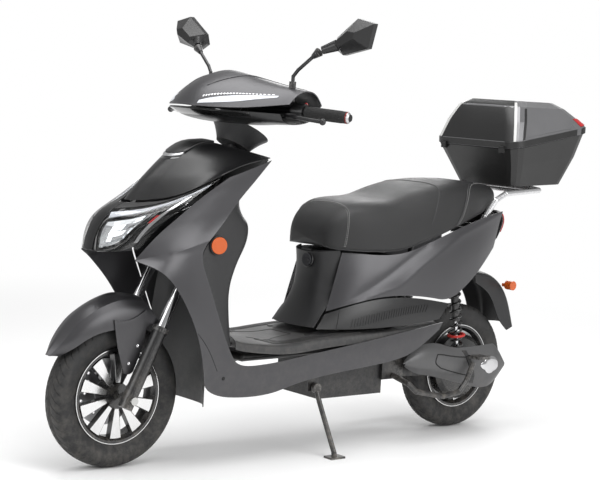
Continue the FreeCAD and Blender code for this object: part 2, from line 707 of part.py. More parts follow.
def floorboard():
    """Footboard: flat tray with turned-down edges, rising beside the seat pedestal."""
    lines = [(front, 322, 290, 360, 1.0), (front, 345, 312, 352, 1.0), (front, 420, 420, 338, 1.0),
             (rear, -800, -800, 334, 1.0), (rear, -700, -700, 344, 1.0), (rear, -600, -600, 350, 1.0),
             (rear, -420, -420, 356, 1.0), (rear, -225, -225, 372, 0.94)]
    rows = []
    for place, y_mid, y_side, z, share in lines:
        edge = (y_mid + y_side) / 2
        rows.append(spread_row(place, [(0, y_mid, z), (60, y_mid, z), (120, edge, z),
                                       (154 * share, y_side, z - 2), (162 * share, y_side, z - 9),
                                       (163.5 * share, y_side, z - 28)]))
    tray = shell(rows, PANEL_WALL, front(0, 500, 0))
    for side in (1, -1):
        low, high = rail_line(side)[2:4]
        tray = tray.cut(rod(low, high, RAIL_TUBE + 3))
    return tray


def seat_pedestal():
    """Front panel under the seat's nose, with the charging socket."""
    rows = [
        [(0, -648, 580), (50, -640, 582), (80, -612, 588), (91, -586, 590)],
        [(0, -641, 534), (50, -632, 534), (80, -602, 534), (91, -573, 534)],
        [(0, -652, 470), (52, -642, 470), (82, -614, 470), (93, -590, 470)],
        [(0, -669, 414), (52, -662, 414), (80, -645, 414), (92, -636, 414)],
        [(0, -700, 366), (54, -694, 366), (84, -684, 366), (97, -676, 366)],
    ]
    grid = [spread_row(rear, row) for row in rows]
    panel = shell(grid, PANEL_WALL, rear(0, -300, 480))
    hole = Part.makeCylinder(CHARGE_RADIUS, 60, rear(CHARGE_X, -670, CHARGE_Z), Y_AXIS)
    rim = tube(rear(CHARGE_X, -645, CHARGE_Z), rear(CHARGE_X, -610, CHARGE_Z),
               CHARGE_RADIUS + 2, CHARGE_RADIUS)
    return fuse([panel, rim]).cut(hole)


def charge_cap():
    """Bayonet cap over the charging socket, with a grip bar to turn it by."""
    face_y = -651.0
    cap = Part.makeCylinder(CHARGE_RADIUS - 1.6, 5, rear(CHARGE_X, face_y, CHARGE_Z), Y_AXIS)
    grip = box(rear(CHARGE_X - 13, face_y - 4, CHARGE_Z - 2.5),
               rear(CHARGE_X + 13, face_y + 2, CHARGE_Z + 2.5))
    return fuse([cap, grip])


def rear_side_panels():
    """Painted panels from the pedestal to the tail light, under the seat."""
    ribs = [
        ((97, -634, 412), (95, -582, 584), 1),
        ((126, -590, 430), (114, -545, 584), 4),
        ((150, -500, 454), (141, -470, 578), 6),
        ((163, -400, 461), (156, -380, 584), 7),
        ((166, -290, 452), (163, -290, 616), 8),
        ((160, -188, 434), (162, -200, 648), 9),
        ((148, -92, 487), (152, -110, 674), 7),
        ((136, -20, 545), (142, -30, 694), 4),
        ((118, 36, 592), (126, 54, 708), 1),
    ]
    return pair(shell(ribbed_grid(rear, ribs), PANEL_WALL, rear(0, -300, 540)))


def lower_side_panels():
    """Black ribbed panels between the painted panel and the footboard."""
    ribs = [
        ((103, -672, 362), (100, -640, 404), 1),
        ((136, -600, 362), (126, -592, 424), 2),
        ((160, -500, 364), (150, -502, 448), 3),
        ((166, -400, 368), (163, -402, 455), 3),
        ((168, -300, 374), (165, -292, 446), 3),
        ((166, -232, 381), (160, -192, 428), 2),
    ]
    return pair(shell(ribbed_grid(rear, ribs), PANEL_WALL, rear(0, -400, 400)))


def underseat_tub():
    """Open storage tub under the seat."""
    w = TUB_HALF_WIDTH
    outer = box(rear(-w, TUB_FRONT, TUB_LOW), rear(w, TUB_REAR, TUB_HIGH))
    inner = box(rear(3 - w, TUB_FRONT + 3, TUB_LOW + 3), rear(w - 3, TUB_REAR - 3, TUB_HIGH + 5))
    corners = [e for e in outer.Edges if abs(e.tangentAt(e.FirstParameter).z) > 0.9]
    cavity_corners = [e for e in inner.Edges if abs(e.tangentAt(e.FirstParameter).z) > 0.9]
    return outer.makeFillet(18, corners).cut(inner.makeFillet(15, cavity_corners))


SEAT_STATIONS = [
    (-642, 66, 608, 640), (-632, 90, 600, 664), (-612, 108, 597, 692), (-580, 124, 595, 718),
    (-545, 138, 593, 733), (-490, 150, 592, 738), (-400, 158, 594, 742), (-315, 163, 618, 770),
    (-230, 164, 645, 790), (-120, 148, 680, 800), (-20, 118, 706, 796), (45, 92, 724, 788),
    (80, 66, 738, 768),
]


def seat_pad():
    """Foam of the saddle, stepped up for the passenger."""
    sections = []
    for y, half, low, high in SEAT_STATIONS:
        sections.append(rounded_section(half * SPREAD, low, high, REAR_AXLE_Y + y,
                                        (high - low) * 0.5, (high - low) * 0.12))
    return Part.makeLoft(sections, True, False)


def seat_base():
    """Moulded pan that the foam is glued to, and the front hinge lug."""
    rows = []
    for y, half, low, high in SEAT_STATIONS[3:-1]:
        w = half * SPREAD * 0.55
        z = low - PAN_DROP
        rows.append(both_sides([rear(0, y, z), rear(w * 0.6, y, z), rear(w, y, z)]))
    pan = shell(rows, PANEL_WALL, rear(0, -300, 0))
    lug = rod(rear(-22, SEAT_HINGE_Y, SEAT_HINGE_Z), rear(22, SEAT_HINGE_Y, SEAT_HINGE_Z), 5)
    arm = box(rear(-9, SEAT_HINGE_Y - 3, SEAT_HINGE_Z - 3), rear(9, SEAT_HINGE_Y + 80, SEAT_HINGE_Z + 5))
    return fuse([pan, lug, arm])


def rail_line(side):
    """Middle line of one long frame rail, from the downtube to the tail."""
    left = [front(0, 312, 306), front(104, 360, 296), rear(104, -440, 300), rear(97, -345, 400),
            rear(94, -300, 545), rear(92, -60, 640), rear(84, 60, 690)]
    return [V(side * p.x, p.y, p.z) for p in left]


def main_frame():
    """Welded tubular frame with its brackets."""
    low, high = HEAD_TUBE
    head = rod(steer_point(low), steer_point(high), HEAD_BORE + HEAD_WALL)
    down = bent_bar([steer_point(high - 40) + V(0, 20, 0), front(0, 308, 600), front(0, 297, 400),
                     front(0, 310, 312)], FRAME_TUBE)
    pieces = [head, down]
    for side in (1, -1):
        pieces.append(bent_bar(rail_line(side), RAIL_TUBE))
        plate = box(rear(side * 104 - 4, -402, 195), rear(side * 104 + 4, -315, 346))
        pieces.append(plate)
        ear = rod(rear(side * 84, -125, 604), rear(side * 100, -125, 604), 9)
        post = bent_bar([rear(side * 92, -125, 604), rear(side * 92, -125, 520)], 9)
        pin = rod(rear(side * 92, -125, 510), rear(side * (SHOCK_X + 12), -125, 510), 6)
        pieces += [ear, post, pin, Part.makeSphere(9, rear(side * 92, -125, 512))]
    for place, y, z, x in ((rear, -650, 298, 104), (rear, -430, 302, 104), (rear, -20, 656, 90)):
        pieces.append(rod(place(-x, y, z), place(x, y, z), 9))
    bracket = box(rear(98, -690, 180), rear(104, -650, 300))
    pieces.append(bracket)
    pieces.append(rod(rear(92, STAND_PIVOT_Y, STAND_PIVOT_Z), rear(122, STAND_PIVOT_Y, STAND_PIVOT_Z), 6))
    pieces.append(rod(rear(-100, -345, 215), rear(100, -345, 215), SWING_PIVOT_RADIUS))
    head_bore = rod(steer_point(low - 5), steer_point(high + 5), HEAD_BORE)
    cup_seat = rod(steer_point(low + CUP_HEIGHT), steer_point(high - CUP_HEIGHT), HEAD_BORE)
    return fuse(pieces).cut(head_bore.fuse(cup_seat))


def footrest_bars():
    """Passenger footrest bars that bolt to the frame plates."""
    line = [rear(111, -358, 205), rear(172, -350, 190), rear(172, -316, 164), rear(172, -200, 140),
            rear(172, -131, 148), rear(172, -100, 182), rear(172, -75, 238)]
    return pair(bent_bar(line, 8.5))


def footrest_peg():
    """Folding perforated passenger peg on the left bar."""
    hinge = rear(172, -68, 256)
    plate = box(rear(166, -92, 253), rear(214, -44, 262))
    holes = [Part.makeCylinder(4, 20, rear(176 + 13 * i, -82 + 14 * j, 248), Z_AXIS)
             for i in range(3) for j in range(3)]
    knuckle = rod(hinge - V(6, 24, 0), hinge - V(6, -24, 0), 5)
    return fuse([plate.cut(Part.makeCompound(holes)), knuckle])


def battery_box():
    """Underfloor housing, open at the top, that carries the battery."""
    outer = box(rear(-96, -644, 152), rear(96, -392, 268))
    inner = box(rear(-92, -640, 156), rear(92, -396, 270))
    return outer.cut(inner)


def battery_pack():
    return box(rear(-88, -634, 156.5), rear(88, -402, 258))


def motor_controller():
    """Finned controller hung under the footboard."""
    base = box(rear(-60, -860, 308), rear(60, -740, 328))
    fins = [box(rear(-54 + 12 * k, -856, 294), rear(-50 + 12 * k, -744, 309)) for k in range(10)]
    return fuse([base] + fins)


def swingarm():
    """Rear fork that carries the hub motor's axle."""
    pieces = []
    for side in (1, -1):
        x0 = side * SWING_HALF_WIDTH - SWING_THICK / 2
        corners = [(-362, 215), (-345, 232), (-200, 236), (0, 216), (18, 199), (0, 182),
                   (-200, 192), (-345, 198)]
        wire = Part.makePolygon([rear(x0, y, z) for y, z in corners + corners[:1]])
        pieces.append(Part.Face(wire).extrude(V(SWING_THICK, 0, 0)))
        outside = side * (SWING_HALF_WIDTH + SWING_THICK / 2)
        pieces.append(rod(rear(outside - side * 3, -82, 222), rear(side * 128, -82, 222), 6))
    bridge = rod(rear(-SWING_HALF_WIDTH, -262, 214), rear(SWING_HALF_WIDTH, -262, 214), 13)
    boss = rod(rear(-94, -345, 215), rear(94, -345, 215), 17)
    axle = rod(rear(-98, 0, AXLE_Z), rear(98, 0, AXLE_Z), AXLE_RADIUS)
    pivot_bore = rod(rear(-120, -345, 215), rear(120, -345, 215), SWING_PIVOT_RADIUS + RUNNING_GAP)
    return fuse(pieces + [bridge, boss]).cut(pivot_bore).fuse(axle).removeSplitter()


def motor_cover():
    """Painted covers outside the swingarm, over the shock's foot and the motor cable."""
    outline_top = [(-338, 252), (-300, 292), (-217, 306), (-135, 281), (-60, 280), (25, 284), (60, 288),
                   (106, 224)]
    outline_low = [(-336, 236), (-300, 211), (-225, 200), (-135, 177), (-60, 160), (0, 144), (62, 152),
                   (102, 206)]
    rows = []
    for (yt, zt), (yl, zl) in zip(outline_top, outline_low):
        row = []
        for k in range(7):
            t = k / 6
            lift = math.sin(math.pi * t) ** 0.5 if 0 < t < 1 else 0.0
            ends = 0.25 if yt in (-338, 106) else 1.0
            row.append(rear(134 + 20 * lift * ends, yl + (yt - yl) * t, zl + (zt - zl) * t))
        rows.append(row)
    return pair(shell(rows, PANEL_WALL, rear(0, -100, 220)))


def hub_motor():
    """Rear wheel rim with the motor shell cast inside, and its axle bore."""
    half = MOTOR_WIDTH / 2
    bore = AXLE_RADIUS + RUNNING_GAP
    shell_ring = wheel_ring([(MOTOR_RADIUS, half - 12), (MOTOR_RADIUS - 14, half), (30, half + 6),
                             (bore, half + 6), (bore, -half - 6), (30, -half - 6),
                             (MOTOR_RADIUS - 14, -half), (MOTOR_RADIUS, 12 - half)])
    tip = RIM_RADIUS - 1.6 * RIM_WALL
    spokes = []
    for k in range(6):
        spoke = Part.makeBox(24, 22, tip - MOTOR_RADIUS + 12, V(-12, -11, MOTOR_RADIUS - 8))
        spoke.rotate(V(0, 0, 0), X_AXIS, 60.0 * k)
        spokes.append(spoke)
    wheel = fuse([rim_channel(), shell_ring] + spokes)
    wheel.translate(V(0, REAR_AXLE_Y, AXLE_Z))
    return wheel


def shock_axis():
    top = rear(SHOCK_X, *SHOCK_TOP)
    foot = rear(SHOCK_X, *SHOCK_FOOT)
    return top, (foot - top).normalize(), (foot - top).Length


def shock_bodies():
    """Damper tubes hung on the frame's pins."""
    top, run, length = shock_axis()
    eye = rod(top - V(9, 0, 0), top + V(9, 0, 0), 13)
    body = rod(top + run * 10, top + run * 150, 13)
    seat = rod(top + run * 34, top + run * 40, SPRING_RADIUS + 3)
    solid = fuse([eye, body, seat])
    solid = solid.cut(rod(top - V(20, 0, 0), top + V(20, 0, 0), 6 + RUNNING_GAP))
    solid = solid.cut(rod(top + run * 40, top + run * 151, ROD_RADIUS + RUNNING_GAP))
    return pair(solid)


def shock_rods():
    """Damper rods with the lower spring seat and the slotted foot."""
    top, run, length = shock_axis()
    foot = top + run * length
    shaft = rod(top + run * 96, foot - run * 8, ROD_RADIUS)
    seat = rod(foot - run * 36, foot - run * 30, SPRING_RADIUS + 3)
    eye = rod(foot - V(8, 0, 0), foot + V(8, 0, 0), 16)
    slot = rod(foot - V(20, 0, 0), foot + V(20, 0, 0), 9.5)
    return pair(fuse([shaft, seat, eye]).cut(slot))


def shock_springs():
    """Coil springs between the two spring seats."""
    top, run, length = shock_axis()
    start = 40 + SPRING_WIRE + 0.5
    span = (length - 36 - SPRING_WIRE - 0.5) - start
    turns = 9
    helix = Part.makeHelix(span / turns, span, SPRING_RADIUS - SPRING_WIRE)
    wire = Part.Wire(helix.Edges)
    ring = Part.Wire(Part.makeCircle(SPRING_WIRE, V(SPRING_RADIUS - SPRING_WIRE, 0, 0), Y_AXIS))
    coil = wire.makePipeShell([ring], True, True)
    turn = FreeCAD.Rotation(Z_AXIS, run)
    coil.Placement = FreeCAD.Placement(top + run * start, turn)
    return pair(coil)


def side_stand():
    """Side stand leg with its foot plate on the ground."""
    pivot = rear(STAND_X, STAND_PIVOT_Y, STAND_PIVOT_Z)
    ankle = rear(200, -658, 16)
    leg = bent_bar([pivot + V(2, 0, -4), pivot + V(16, 2, -38), ankle], 7.5)
    eye = rod(pivot - V(5, 0, 0), pivot + V(7, 0, 0), 15)
    foot = box(rear(186, -684, 0), rear(222, -632, 6))
    neck = rod(ankle, rear(203, -658, 4), 8)
    bore = rod(pivot - V(40, 0, 0), pivot + V(40, 0, 0), 6 + RUNNING_GAP)
    return fuse([leg, eye, foot, neck]).cut(bore)


RACK_POINTS = [(112.4, -34, 650), (118, -12, 690), (130, 18, 742), (130, 62, 764), (120, 225, 775),
               (60, 258, 776)]
RACK_BARS = [(150, 770), (215, 774)]
RACK_BAR_REACH = 125
RACK_BAR = 7


def rear_rack():
    """Bent tube carrier behind the seat, under the luggage case."""
    left = [rear(x * SPREAD, y, z) for x, y, z in RACK_POINTS]
    right = [V(-p.x, p.y, p.z) for p in left]
    hoop = bent_bar(left + list(reversed(right)), RACK_TUBE)
    reach = RACK_BAR_REACH * SPREAD
    bars = [rod(rear(-reach, y, z), rear(reach, y, z), RACK_BAR) for y, z in RACK_BARS]
    return fuse([hoop] + bars)


def case_ring(y_low, y_high, z_low, z_high, half, radius):
    """Rounded rectangle ring whose rear edge sits higher than its front edge."""
    def lift(y):
        return z_low + (z_high - z_low) * (y - y_low) / (y_high - y_low)

    points = []
    for sx, sy, start in ((1, 1, 0), (-1, 1, 90), (-1, -1, 180), (1, -1, 270)):
        cx = sx * (half - radius)
        cy = (y_high - radius) if sy > 0 else (y_low + radius)
        for k in range(4):
            angle = math.radians(start + 30 * k)
            y = cy + radius * math.sin(angle)
            points.append(rear(cx + radius * math.cos(angle), y, lift(y)))
    return Part.makePolygon(points + points[:1])


def case_hollow(rings, wall_rings):
    """Walled tub: outer loft less inner loft."""
    outer = Part.makeLoft(rings, True, True)
    inner = Part.makeLoft(wall_rings, True, True)
    return outer.cut(inner)


def topcase_base():
    """Lower half of the luggage case, screwed to the rack."""
    half = CASE_WIDTH / 2
    rim = (CASE_FRONT, REAR_OVERHANG - 6)
    w = CASE_WALL
    low = case_ring(96, 330, CASE_FLOOR, CASE_FLOOR + 10, 128, 30)
    waist = case_ring(62, 366, 855, 890, 158, 38)
    high = case_ring(rim[0], rim[1], CASE_RIM_FRONT, CASE_RIM_REAR, half, 46)
    low_in = case_ring(96 + w, 330 - w, CASE_FLOOR + w, CASE_FLOOR + 10 + w, 128 - w, 28)
    waist_in = case_ring(62 + w, 366 - w, 855, 890, 158 - w, 36)
    high_in = case_ring(rim[0] + w, rim[1] - w, CASE_RIM_FRONT + 1, CASE_RIM_REAR + 1, half - w, 44)
    tub = case_hollow([low, waist, high], [low_in, waist_in, high_in])
    lugs = []
    for x in (-128, 128):
        lugs.append(rod(rear(x - 10, HINGE_Y, HINGE_Z), rear(x + 10, HINGE_Y, HINGE_Z), HINGE_LUG_RADIUS))
        lugs.append(box(rear(x - 10, HINGE_Y - 3, HINGE_Z - 18), rear(x + 10, HINGE_Y + 3.5, HINGE_Z)))
        lugs.append(box(rear(x - 10, HINGE_Y - 3, HINGE_Z - 18), rear(x + 10, CASE_FRONT + 3, HINGE_Z - 7)))
    return fuse([tub] + lugs)


def topcase_lid():
    """Upper half of the luggage case, hinged at its front rim."""
    half = CASE_WIDTH / 2
    gap = 2.0
    w = CASE_WALL
    base = (CASE_FRONT, REAR_OVERHANG - 1)
    low = case_ring(base[0], base[1], CASE_RIM_FRONT + gap, CASE_RIM_REAR + gap, half + 2, 46)
    belt = case_ring(base[0] - 2, base[1], CASE_RIM_FRONT + 24, CASE_RIM_REAR + 24, half + 2, 46)
    mid = case_ring(48, 372, 990, 1010, 164, 50)
    top = case_ring(70, 330, 1040, 1040, 140, 50)
    cap = case_ring(100, 300, 1058, 1058, 110, 46)
    low_in = case_ring(base[0] + w, base[1] - w, CASE_RIM_FRONT + gap - 1, CASE_RIM_REAR + gap - 1,
                       half + 2 - w, 44)
    belt_in = case_ring(base[0] - 2 + w, base[1] - w, CASE_RIM_FRONT + 24, CASE_RIM_REAR + 24,
                        half + 2 - w, 44)
    mid_in = case_ring(48 + w, 372 - w, 988, 1008, 164 - w, 48)
    top_in = case_ring(70 + w, 330 - w, 1037, 1037, 140 - w, 48)
    cap_in = case_ring(100 + w, 300 - w, 1055, 1055, 110 - w, 44)
    return case_hollow([low, belt, mid, top, cap], [low_in, belt_in, mid_in, top_in, cap_in])


def tail_light():
    """Tail light unit between the rear ends of the side panels."""
    rows = [
        [(0, 118, 704), (50, 112, 704), (95, 84, 704), (112, 66, 702)],
        [(0, 138, 690), (50, 132, 690), (94, 104, 690), (111, 78, 690)],
        [(0, 142, 660), (50, 134, 660), (90, 108, 658), (108, 80, 656)],
        [(0, 126, 628), (50, 118, 626), (84, 90, 622), (104, 62, 618)],
    ]
    return shell([spread_row(rear, row) for row in rows], 6.0, rear(0, 0, 660))


def tail_cover():
    """Painted end piece below the tail light."""
    rows = [
        [(0, 122, 624), (45, 116, 622), (82, 88, 618), (100, 60, 612)],
        [(0, 118, 600), (45, 110, 598), (78, 78, 592), (96, 44, 586)],
        [(0, 96, 572), (40, 88, 572), (68, 52, 566), (84, 26, 562)],
        [(0, 62, 548), (34, 56, 548), (56, 30, 544), (70, 8, 542)],
    ]
    return shell([spread_row(rear, row) for row in rows], PANEL_WALL, rear(0, 0, 700))


def rear_fender():
    """Mudguard behind the rear wheel, ending in the mudflap."""
    rows = []
    for y, z, half, out_y, out_z in ((30, 512, 58, 0, -40), (90, 508, 62, -14, -58), (142, 484, 64, -34, -72),
                                     (180, 446, 66, -56, -70), (206, 392, 68, -62, -52),
                                     (222, 330, 70, -44, -18)):
        rows.append(both_sides([rear(0, y, z), rear(half * 0.55, y - 3, z - 3),
                                rear(half * 0.92, y - 10, z - 8),
                                rear(half, y + out_y * 0.5, z + out_z * 0.5),
                                rear(half, y + out_y, z + out_z)]))
    return shell(rows, PANEL_WALL, rear(0, 0, AXLE_Z))


def rear_indicators():
    """Turn signals on short stalks beside the rear mudguard."""
    stalk = rod(rear(66.5, 148, 462), rear(84, 150, 464), 6)
    lamp = Part.makeCylinder(15, 26, rear(84, 150, 464), X_AXIS)
    return pair(fuse([stalk, lamp]))


def side_reflectors():
    """Round reflectors in bezels on the leg shield's side walls."""
    facing = V(1, -0.18, 0).normalize()
    base = front(169, 206, 622)
    return pair(Part.makeCylinder(23, 7, base, facing))


def ignition_key():
    """Key in the lock of the leg shield, right of the neck."""
    lock = front(-70, 354, 742)
    barrel = Part.makeCylinder(3, 14, lock, Y_AXIS)
    bow = box(lock + V(-1.5, 12, -12), lock + V(1.5, 30, 12))
    return fuse([barrel, bow])


NODES = {
    "main_frame": main_frame, "headset_bearings": headset_bearings, "nose_hood": nose_hood,
    "headlight_housing": headlight_housing, "headlight_lens": headlight_lens,
    "side_fairings": side_fairings, "leg_shield": leg_shield, "wheel_arch": wheel_arch,
    "floorboard": floorboard, "seat_pedestal": seat_pedestal, "charge_cap": charge_cap,
    "rear_side_panels": rear_side_panels, "lower_side_panels": lower_side_panels,
    "underseat_tub": underseat_tub, "battery_box": battery_box, "battery_pack": battery_pack,
    "motor_controller": motor_controller, "footrest_bars": footrest_bars,
    "rear_rack": rear_rack, "topcase_base": topcase_base, "topcase_lid": topcase_lid,
    "tail_light": tail_light, "tail_cover": tail_cover, "rear_fender": rear_fender,
    "rear_indicators": rear_indicators, "side_reflectors": side_reflectors,
    "ignition_key": ignition_key, "steering_stem": steering_stem,
    "fork_stanchions": fork_stanchions, "handlebar": handlebar, "bar_cowl": bar_cowl,
    "dash_display": dash_display, "left_grip": left_grip, "throttle_grip": throttle_grip,
    "switch_pods": switch_pods, "horn_button": horn_button, "left_lever": left_lever,
    "right_lever": right_lever, "mirror_arms": mirror_arms,
    "left_mirror_head": mirror_head, "right_mirror_head": lambda: mirrored(mirror_head()),
    "fork_lowers": fork_lowers, "front_axle": front_axle, "front_fender": front_fender,
    "brake_caliper": brake_caliper, "front_rim": front_rim,
    "front_tyre": lambda: tyre(FRONT_AXLE_Y), "front_disc": front_disc,
    "swingarm": swingarm, "motor_cover": motor_cover, "hub_motor": hub_motor,
    "rear_tyre": lambda: tyre(REAR_AXLE_Y), "shock_bodies": shock_bodies,
    "shock_rods": shock_rods, "shock_springs": shock_springs, "side_stand": side_stand,
    "left_footrest_peg": footrest_peg, "right_footrest_peg": lambda: mirrored(footrest_peg()),
    "seat_pad": seat_pad, "seat_base": seat_base,
}


def main():
    os.makedirs("parts", exist_ok=True)
    for name, make in NODES.items():
        shape = make()
        if not shape.isValid():
            print("not valid:", name)
        shape.exportStep("parts/" + name + ".step")
        bounds = shape.BoundBox
        print("%-20s solids %2d  x %6.1f %6.1f  y %7.1f %7.1f  z %6.1f %6.1f  vol %9.0f"
              % (name, len(shape.Solids), bounds.XMin, bounds.XMax, bounds.YMin, bounds.YMax,
                 bounds.ZMin, bounds.ZMax, shape.Volume))


if __name__ == "__main__":
    main()
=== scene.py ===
"""Looks of the electric moped scooter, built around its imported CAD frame."""
import math

import bmesh
import bpy
import numpy as np
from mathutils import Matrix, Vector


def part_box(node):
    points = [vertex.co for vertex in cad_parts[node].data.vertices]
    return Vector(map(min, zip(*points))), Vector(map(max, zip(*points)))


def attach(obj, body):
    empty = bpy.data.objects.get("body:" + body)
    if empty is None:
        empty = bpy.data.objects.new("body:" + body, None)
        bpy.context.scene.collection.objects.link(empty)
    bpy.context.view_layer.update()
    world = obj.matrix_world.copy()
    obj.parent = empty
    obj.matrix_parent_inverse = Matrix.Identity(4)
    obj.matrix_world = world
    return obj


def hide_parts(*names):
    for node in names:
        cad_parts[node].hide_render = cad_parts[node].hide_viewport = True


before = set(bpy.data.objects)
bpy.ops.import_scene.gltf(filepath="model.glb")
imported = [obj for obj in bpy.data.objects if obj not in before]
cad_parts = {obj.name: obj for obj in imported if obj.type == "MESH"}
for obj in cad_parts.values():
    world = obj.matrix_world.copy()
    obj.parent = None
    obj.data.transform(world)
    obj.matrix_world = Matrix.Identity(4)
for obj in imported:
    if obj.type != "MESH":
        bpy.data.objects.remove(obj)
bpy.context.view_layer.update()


# ---- Studio -------------------------------------------------------------------------
# Pale floor that fades into a white surround, lit by wide soft boxes overhead and at the
# sides. The camera looks at the scooter's left front from saddle height, tipped a little
# as the scooter leans on its stand in use.
def middle(node):
    """Centre of a CAD node's box."""
    low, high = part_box(node)
    return np.array([(low[k] + high[k]) / 2 for k in range(3)])


FRONT = middle("front_axle")[1]
REAR = middle("rear_tyre")[1]
AXLE_Z = middle("front_axle")[2]
MID = (FRONT + REAR) / 2

CAMERA_AZIMUTH = math.radians(49.88)
CAMERA_ELEVATION = math.radians(5.56)
CAMERA_ROLL = math.radians(3.5)
CAMERA_DISTANCE = 4.789
CAMERA_TARGET = np.array([-0.0077, MID, 0.5974])
CAMERA_LENS = 97.1
CAMERA_SHIFT = (-0.0039, 0.0076)


def add_camera():
    """The camera, placed and framed by the values above."""
    a, e, r = CAMERA_AZIMUTH, CAMERA_ELEVATION, CAMERA_ROLL
    back = np.array([math.sin(a) * math.cos(e), -math.cos(a) * math.cos(e), math.sin(e)])
    level = np.array([math.cos(a), math.sin(a), 0.0])
    up = np.cross(back, level)
    right = math.cos(r) * level + math.sin(r) * up
    top = -math.sin(r) * level + math.cos(r) * up
    data = bpy.data.cameras.new("camera")
    data.sensor_width = 36.0
    data.lens = CAMERA_LENS
    data.shift_x, data.shift_y = CAMERA_SHIFT
    camera = bpy.data.objects.new("camera", data)
    bpy.context.scene.collection.objects.link(camera)
    place = CAMERA_TARGET + back * CAMERA_DISTANCE
    rows = [[right[k], top[k], back[k], place[k]] for k in range(3)] + [[0, 0, 0, 1]]
    camera.matrix_world = [list(column) for column in zip(*rows)]
    bpy.context.scene.camera = camera


def add_soft_box(name, place, aim, size, watts):
    """A square area light at `place`, turned so that it shines at `aim`."""
    data = bpy.data.lights.new(name, "AREA")
    data.shape = "RECTANGLE"
    data.size, data.size_y = size
    data.energy = watts
    lamp = bpy.data.objects.new(name, data)
    bpy.context.scene.collection.objects.link(lamp)
    away = np.array(place, float) - np.array(aim, float)
    away /= np.linalg.norm(away)
    side = np.cross((0, 0, 1) if abs(away[2]) < 0.95 else (0, 1, 0), away)
    side /= np.linalg.norm(side)
    up = np.cross(away, side)
    rows = [[side[k], up[k], away[k], place[k]] for k in range(3)] + [[0, 0, 0, 1]]
    lamp.matrix_world = [list(column) for column in zip(*rows)]


def add_studio():
    """White surroundings and four soft boxes."""
    world = bpy.data.worlds.new("studio")
    world.use_nodes = True
    nodes, links = world.node_tree.nodes, world.node_tree.links
    nodes.clear()
    out = nodes.new("ShaderNodeOutputWorld")
    mix = nodes.new("ShaderNodeMixShader")
    path = nodes.new("ShaderNodeLightPath")
    fill = nodes.new("ShaderNodeBackground")
    fill.inputs["Color"].default_value = (1, 1, 1, 1)
    fill.inputs["Strength"].default_value = 0.42
    seen = nodes.new("ShaderNodeBackground")
    seen.inputs["Color"].default_value = (1, 1, 1, 1)
    seen.inputs["Strength"].default_value = 1.0
    links.new(path.outputs["Is Camera Ray"], mix.inputs["Fac"])
    links.new(fill.outputs["Background"], mix.inputs[1])
    links.new(seen.outputs["Background"], mix.inputs[2])
    links.new(mix.outputs["Shader"], out.inputs["Surface"])
    bpy.context.scene.world = world
    add_soft_box("overhead_box", (0.3, -0.3, 3.4), (0, 0, 0.6), (3.6, 2.2), 105)
    add_soft_box("left_box", (3.6, 0.9, 2.0), (0, 0, 0.6), (2.4, 2.2), 75)
    add_soft_box("front_box", (0.4, -4.0, 1.9), (0, -0.4, 0.6), (2.6, 2.0), 45)
    add_soft_box("rear_box", (-2.6, 3.0, 2.2), (0, 0, 0.7), (2.2, 2.2), 40)


def add_floor():
    """Pale floor that fades into the white surroundings with distance."""
    reach = 9.0
    fade_near, fade_far = 1.5, 4.0
    mesh = bpy.data.meshes.new("floor")
    mesh.from_pydata([(-reach, -reach, 0), (reach, -reach, 0), (reach, reach, 0), (-reach, reach, 0)],
                     [], [(0, 1, 2, 3)])
    floor = bpy.data.objects.new("floor", mesh)
    bpy.context.scene.collection.objects.link(floor)
    paint = bpy.data.materials.new("floor_paint")
    paint.use_nodes = True
    shader = paint.node_tree.nodes["Principled BSDF"]
    shader.inputs["Base Color"].default_value = (0.93, 0.93, 0.93, 1)
    shader.inputs["Roughness"].default_value = 0.7
    nodes, links = paint.node_tree.nodes, paint.node_tree.links
    place = nodes.new("ShaderNodeTexCoord")
    reach_out = nodes.new("ShaderNodeVectorMath")
    reach_out.operation = "LENGTH"
    fade = nodes.new("ShaderNodeMapRange")
    fade.interpolation_type = "SMOOTHSTEP"
    fade.inputs["From Min"].default_value = fade_near
    fade.inputs["From Max"].default_value = fade_far
    links.new(place.outputs["Object"], reach_out.inputs[0])
    links.new(reach_out.outputs["Value"], fade.inputs["Value"])
    surround = nodes.new("ShaderNodeEmission")
    mix = nodes.new("ShaderNodeMixShader")
    links.new(fade.outputs["Result"], mix.inputs["Fac"])
    links.new(shader.outputs["BSDF"], mix.inputs[1])
    links.new(surround.outputs["Emission"], mix.inputs[2])
    links.new(mix.outputs["Shader"], nodes["Material Output"].inputs["Surface"])
    mesh.materials.append(paint)


add_camera()
add_studio()
add_floor()
bpy.context.scene.view_settings.view_transform = "Standard"


# ---- Chassis ------------------------------------------------------------------------
# Welded steel tubes and plates: main frame, footrest loops, crown and stem, swingarm and
# stand. Bent, welded, then powder coated satin black; the coat is orange-peeled, chipped
# along its edges and dusty low down.
def wire(tree, kind, values=None, **settings):
    """One shader node. Settings are its own properties; values are its sockets, each a
    constant or the socket that feeds it."""
    made = tree.nodes.new(kind if kind.startswith("NodeGroup") else "ShaderNode" + kind)
    for key, value in settings.items():
        setattr(made, key, value)
    for key, value in (values or {}).items():
        if isinstance(value, bpy.types.NodeSocket):
            tree.links.new(value, made.inputs[key])
        else:
            made.inputs[key].default_value = value
    return made


def effect(name, knobs, results, fill):
    """A shader node group: knobs are its inputs with their defaults, results its output
    values, and fill(tree, inputs) returns the socket that feeds each result."""
    tree = bpy.data.node_groups.new(name, "ShaderNodeTree")
    for knob, default in knobs.items():
        socket = tree.interface.new_socket(name=knob, in_out="INPUT", socket_type="NodeSocketFloat")
        socket.default_value = default
    for result in results:
        tree.interface.new_socket(name=result, in_out="OUTPUT", socket_type="NodeSocketFloat")
    entry = wire(tree, "NodeGroupInput")
    made = fill(tree, entry.outputs)
    wire(tree, "NodeGroupOutput", dict(zip(results, made)))
    return tree


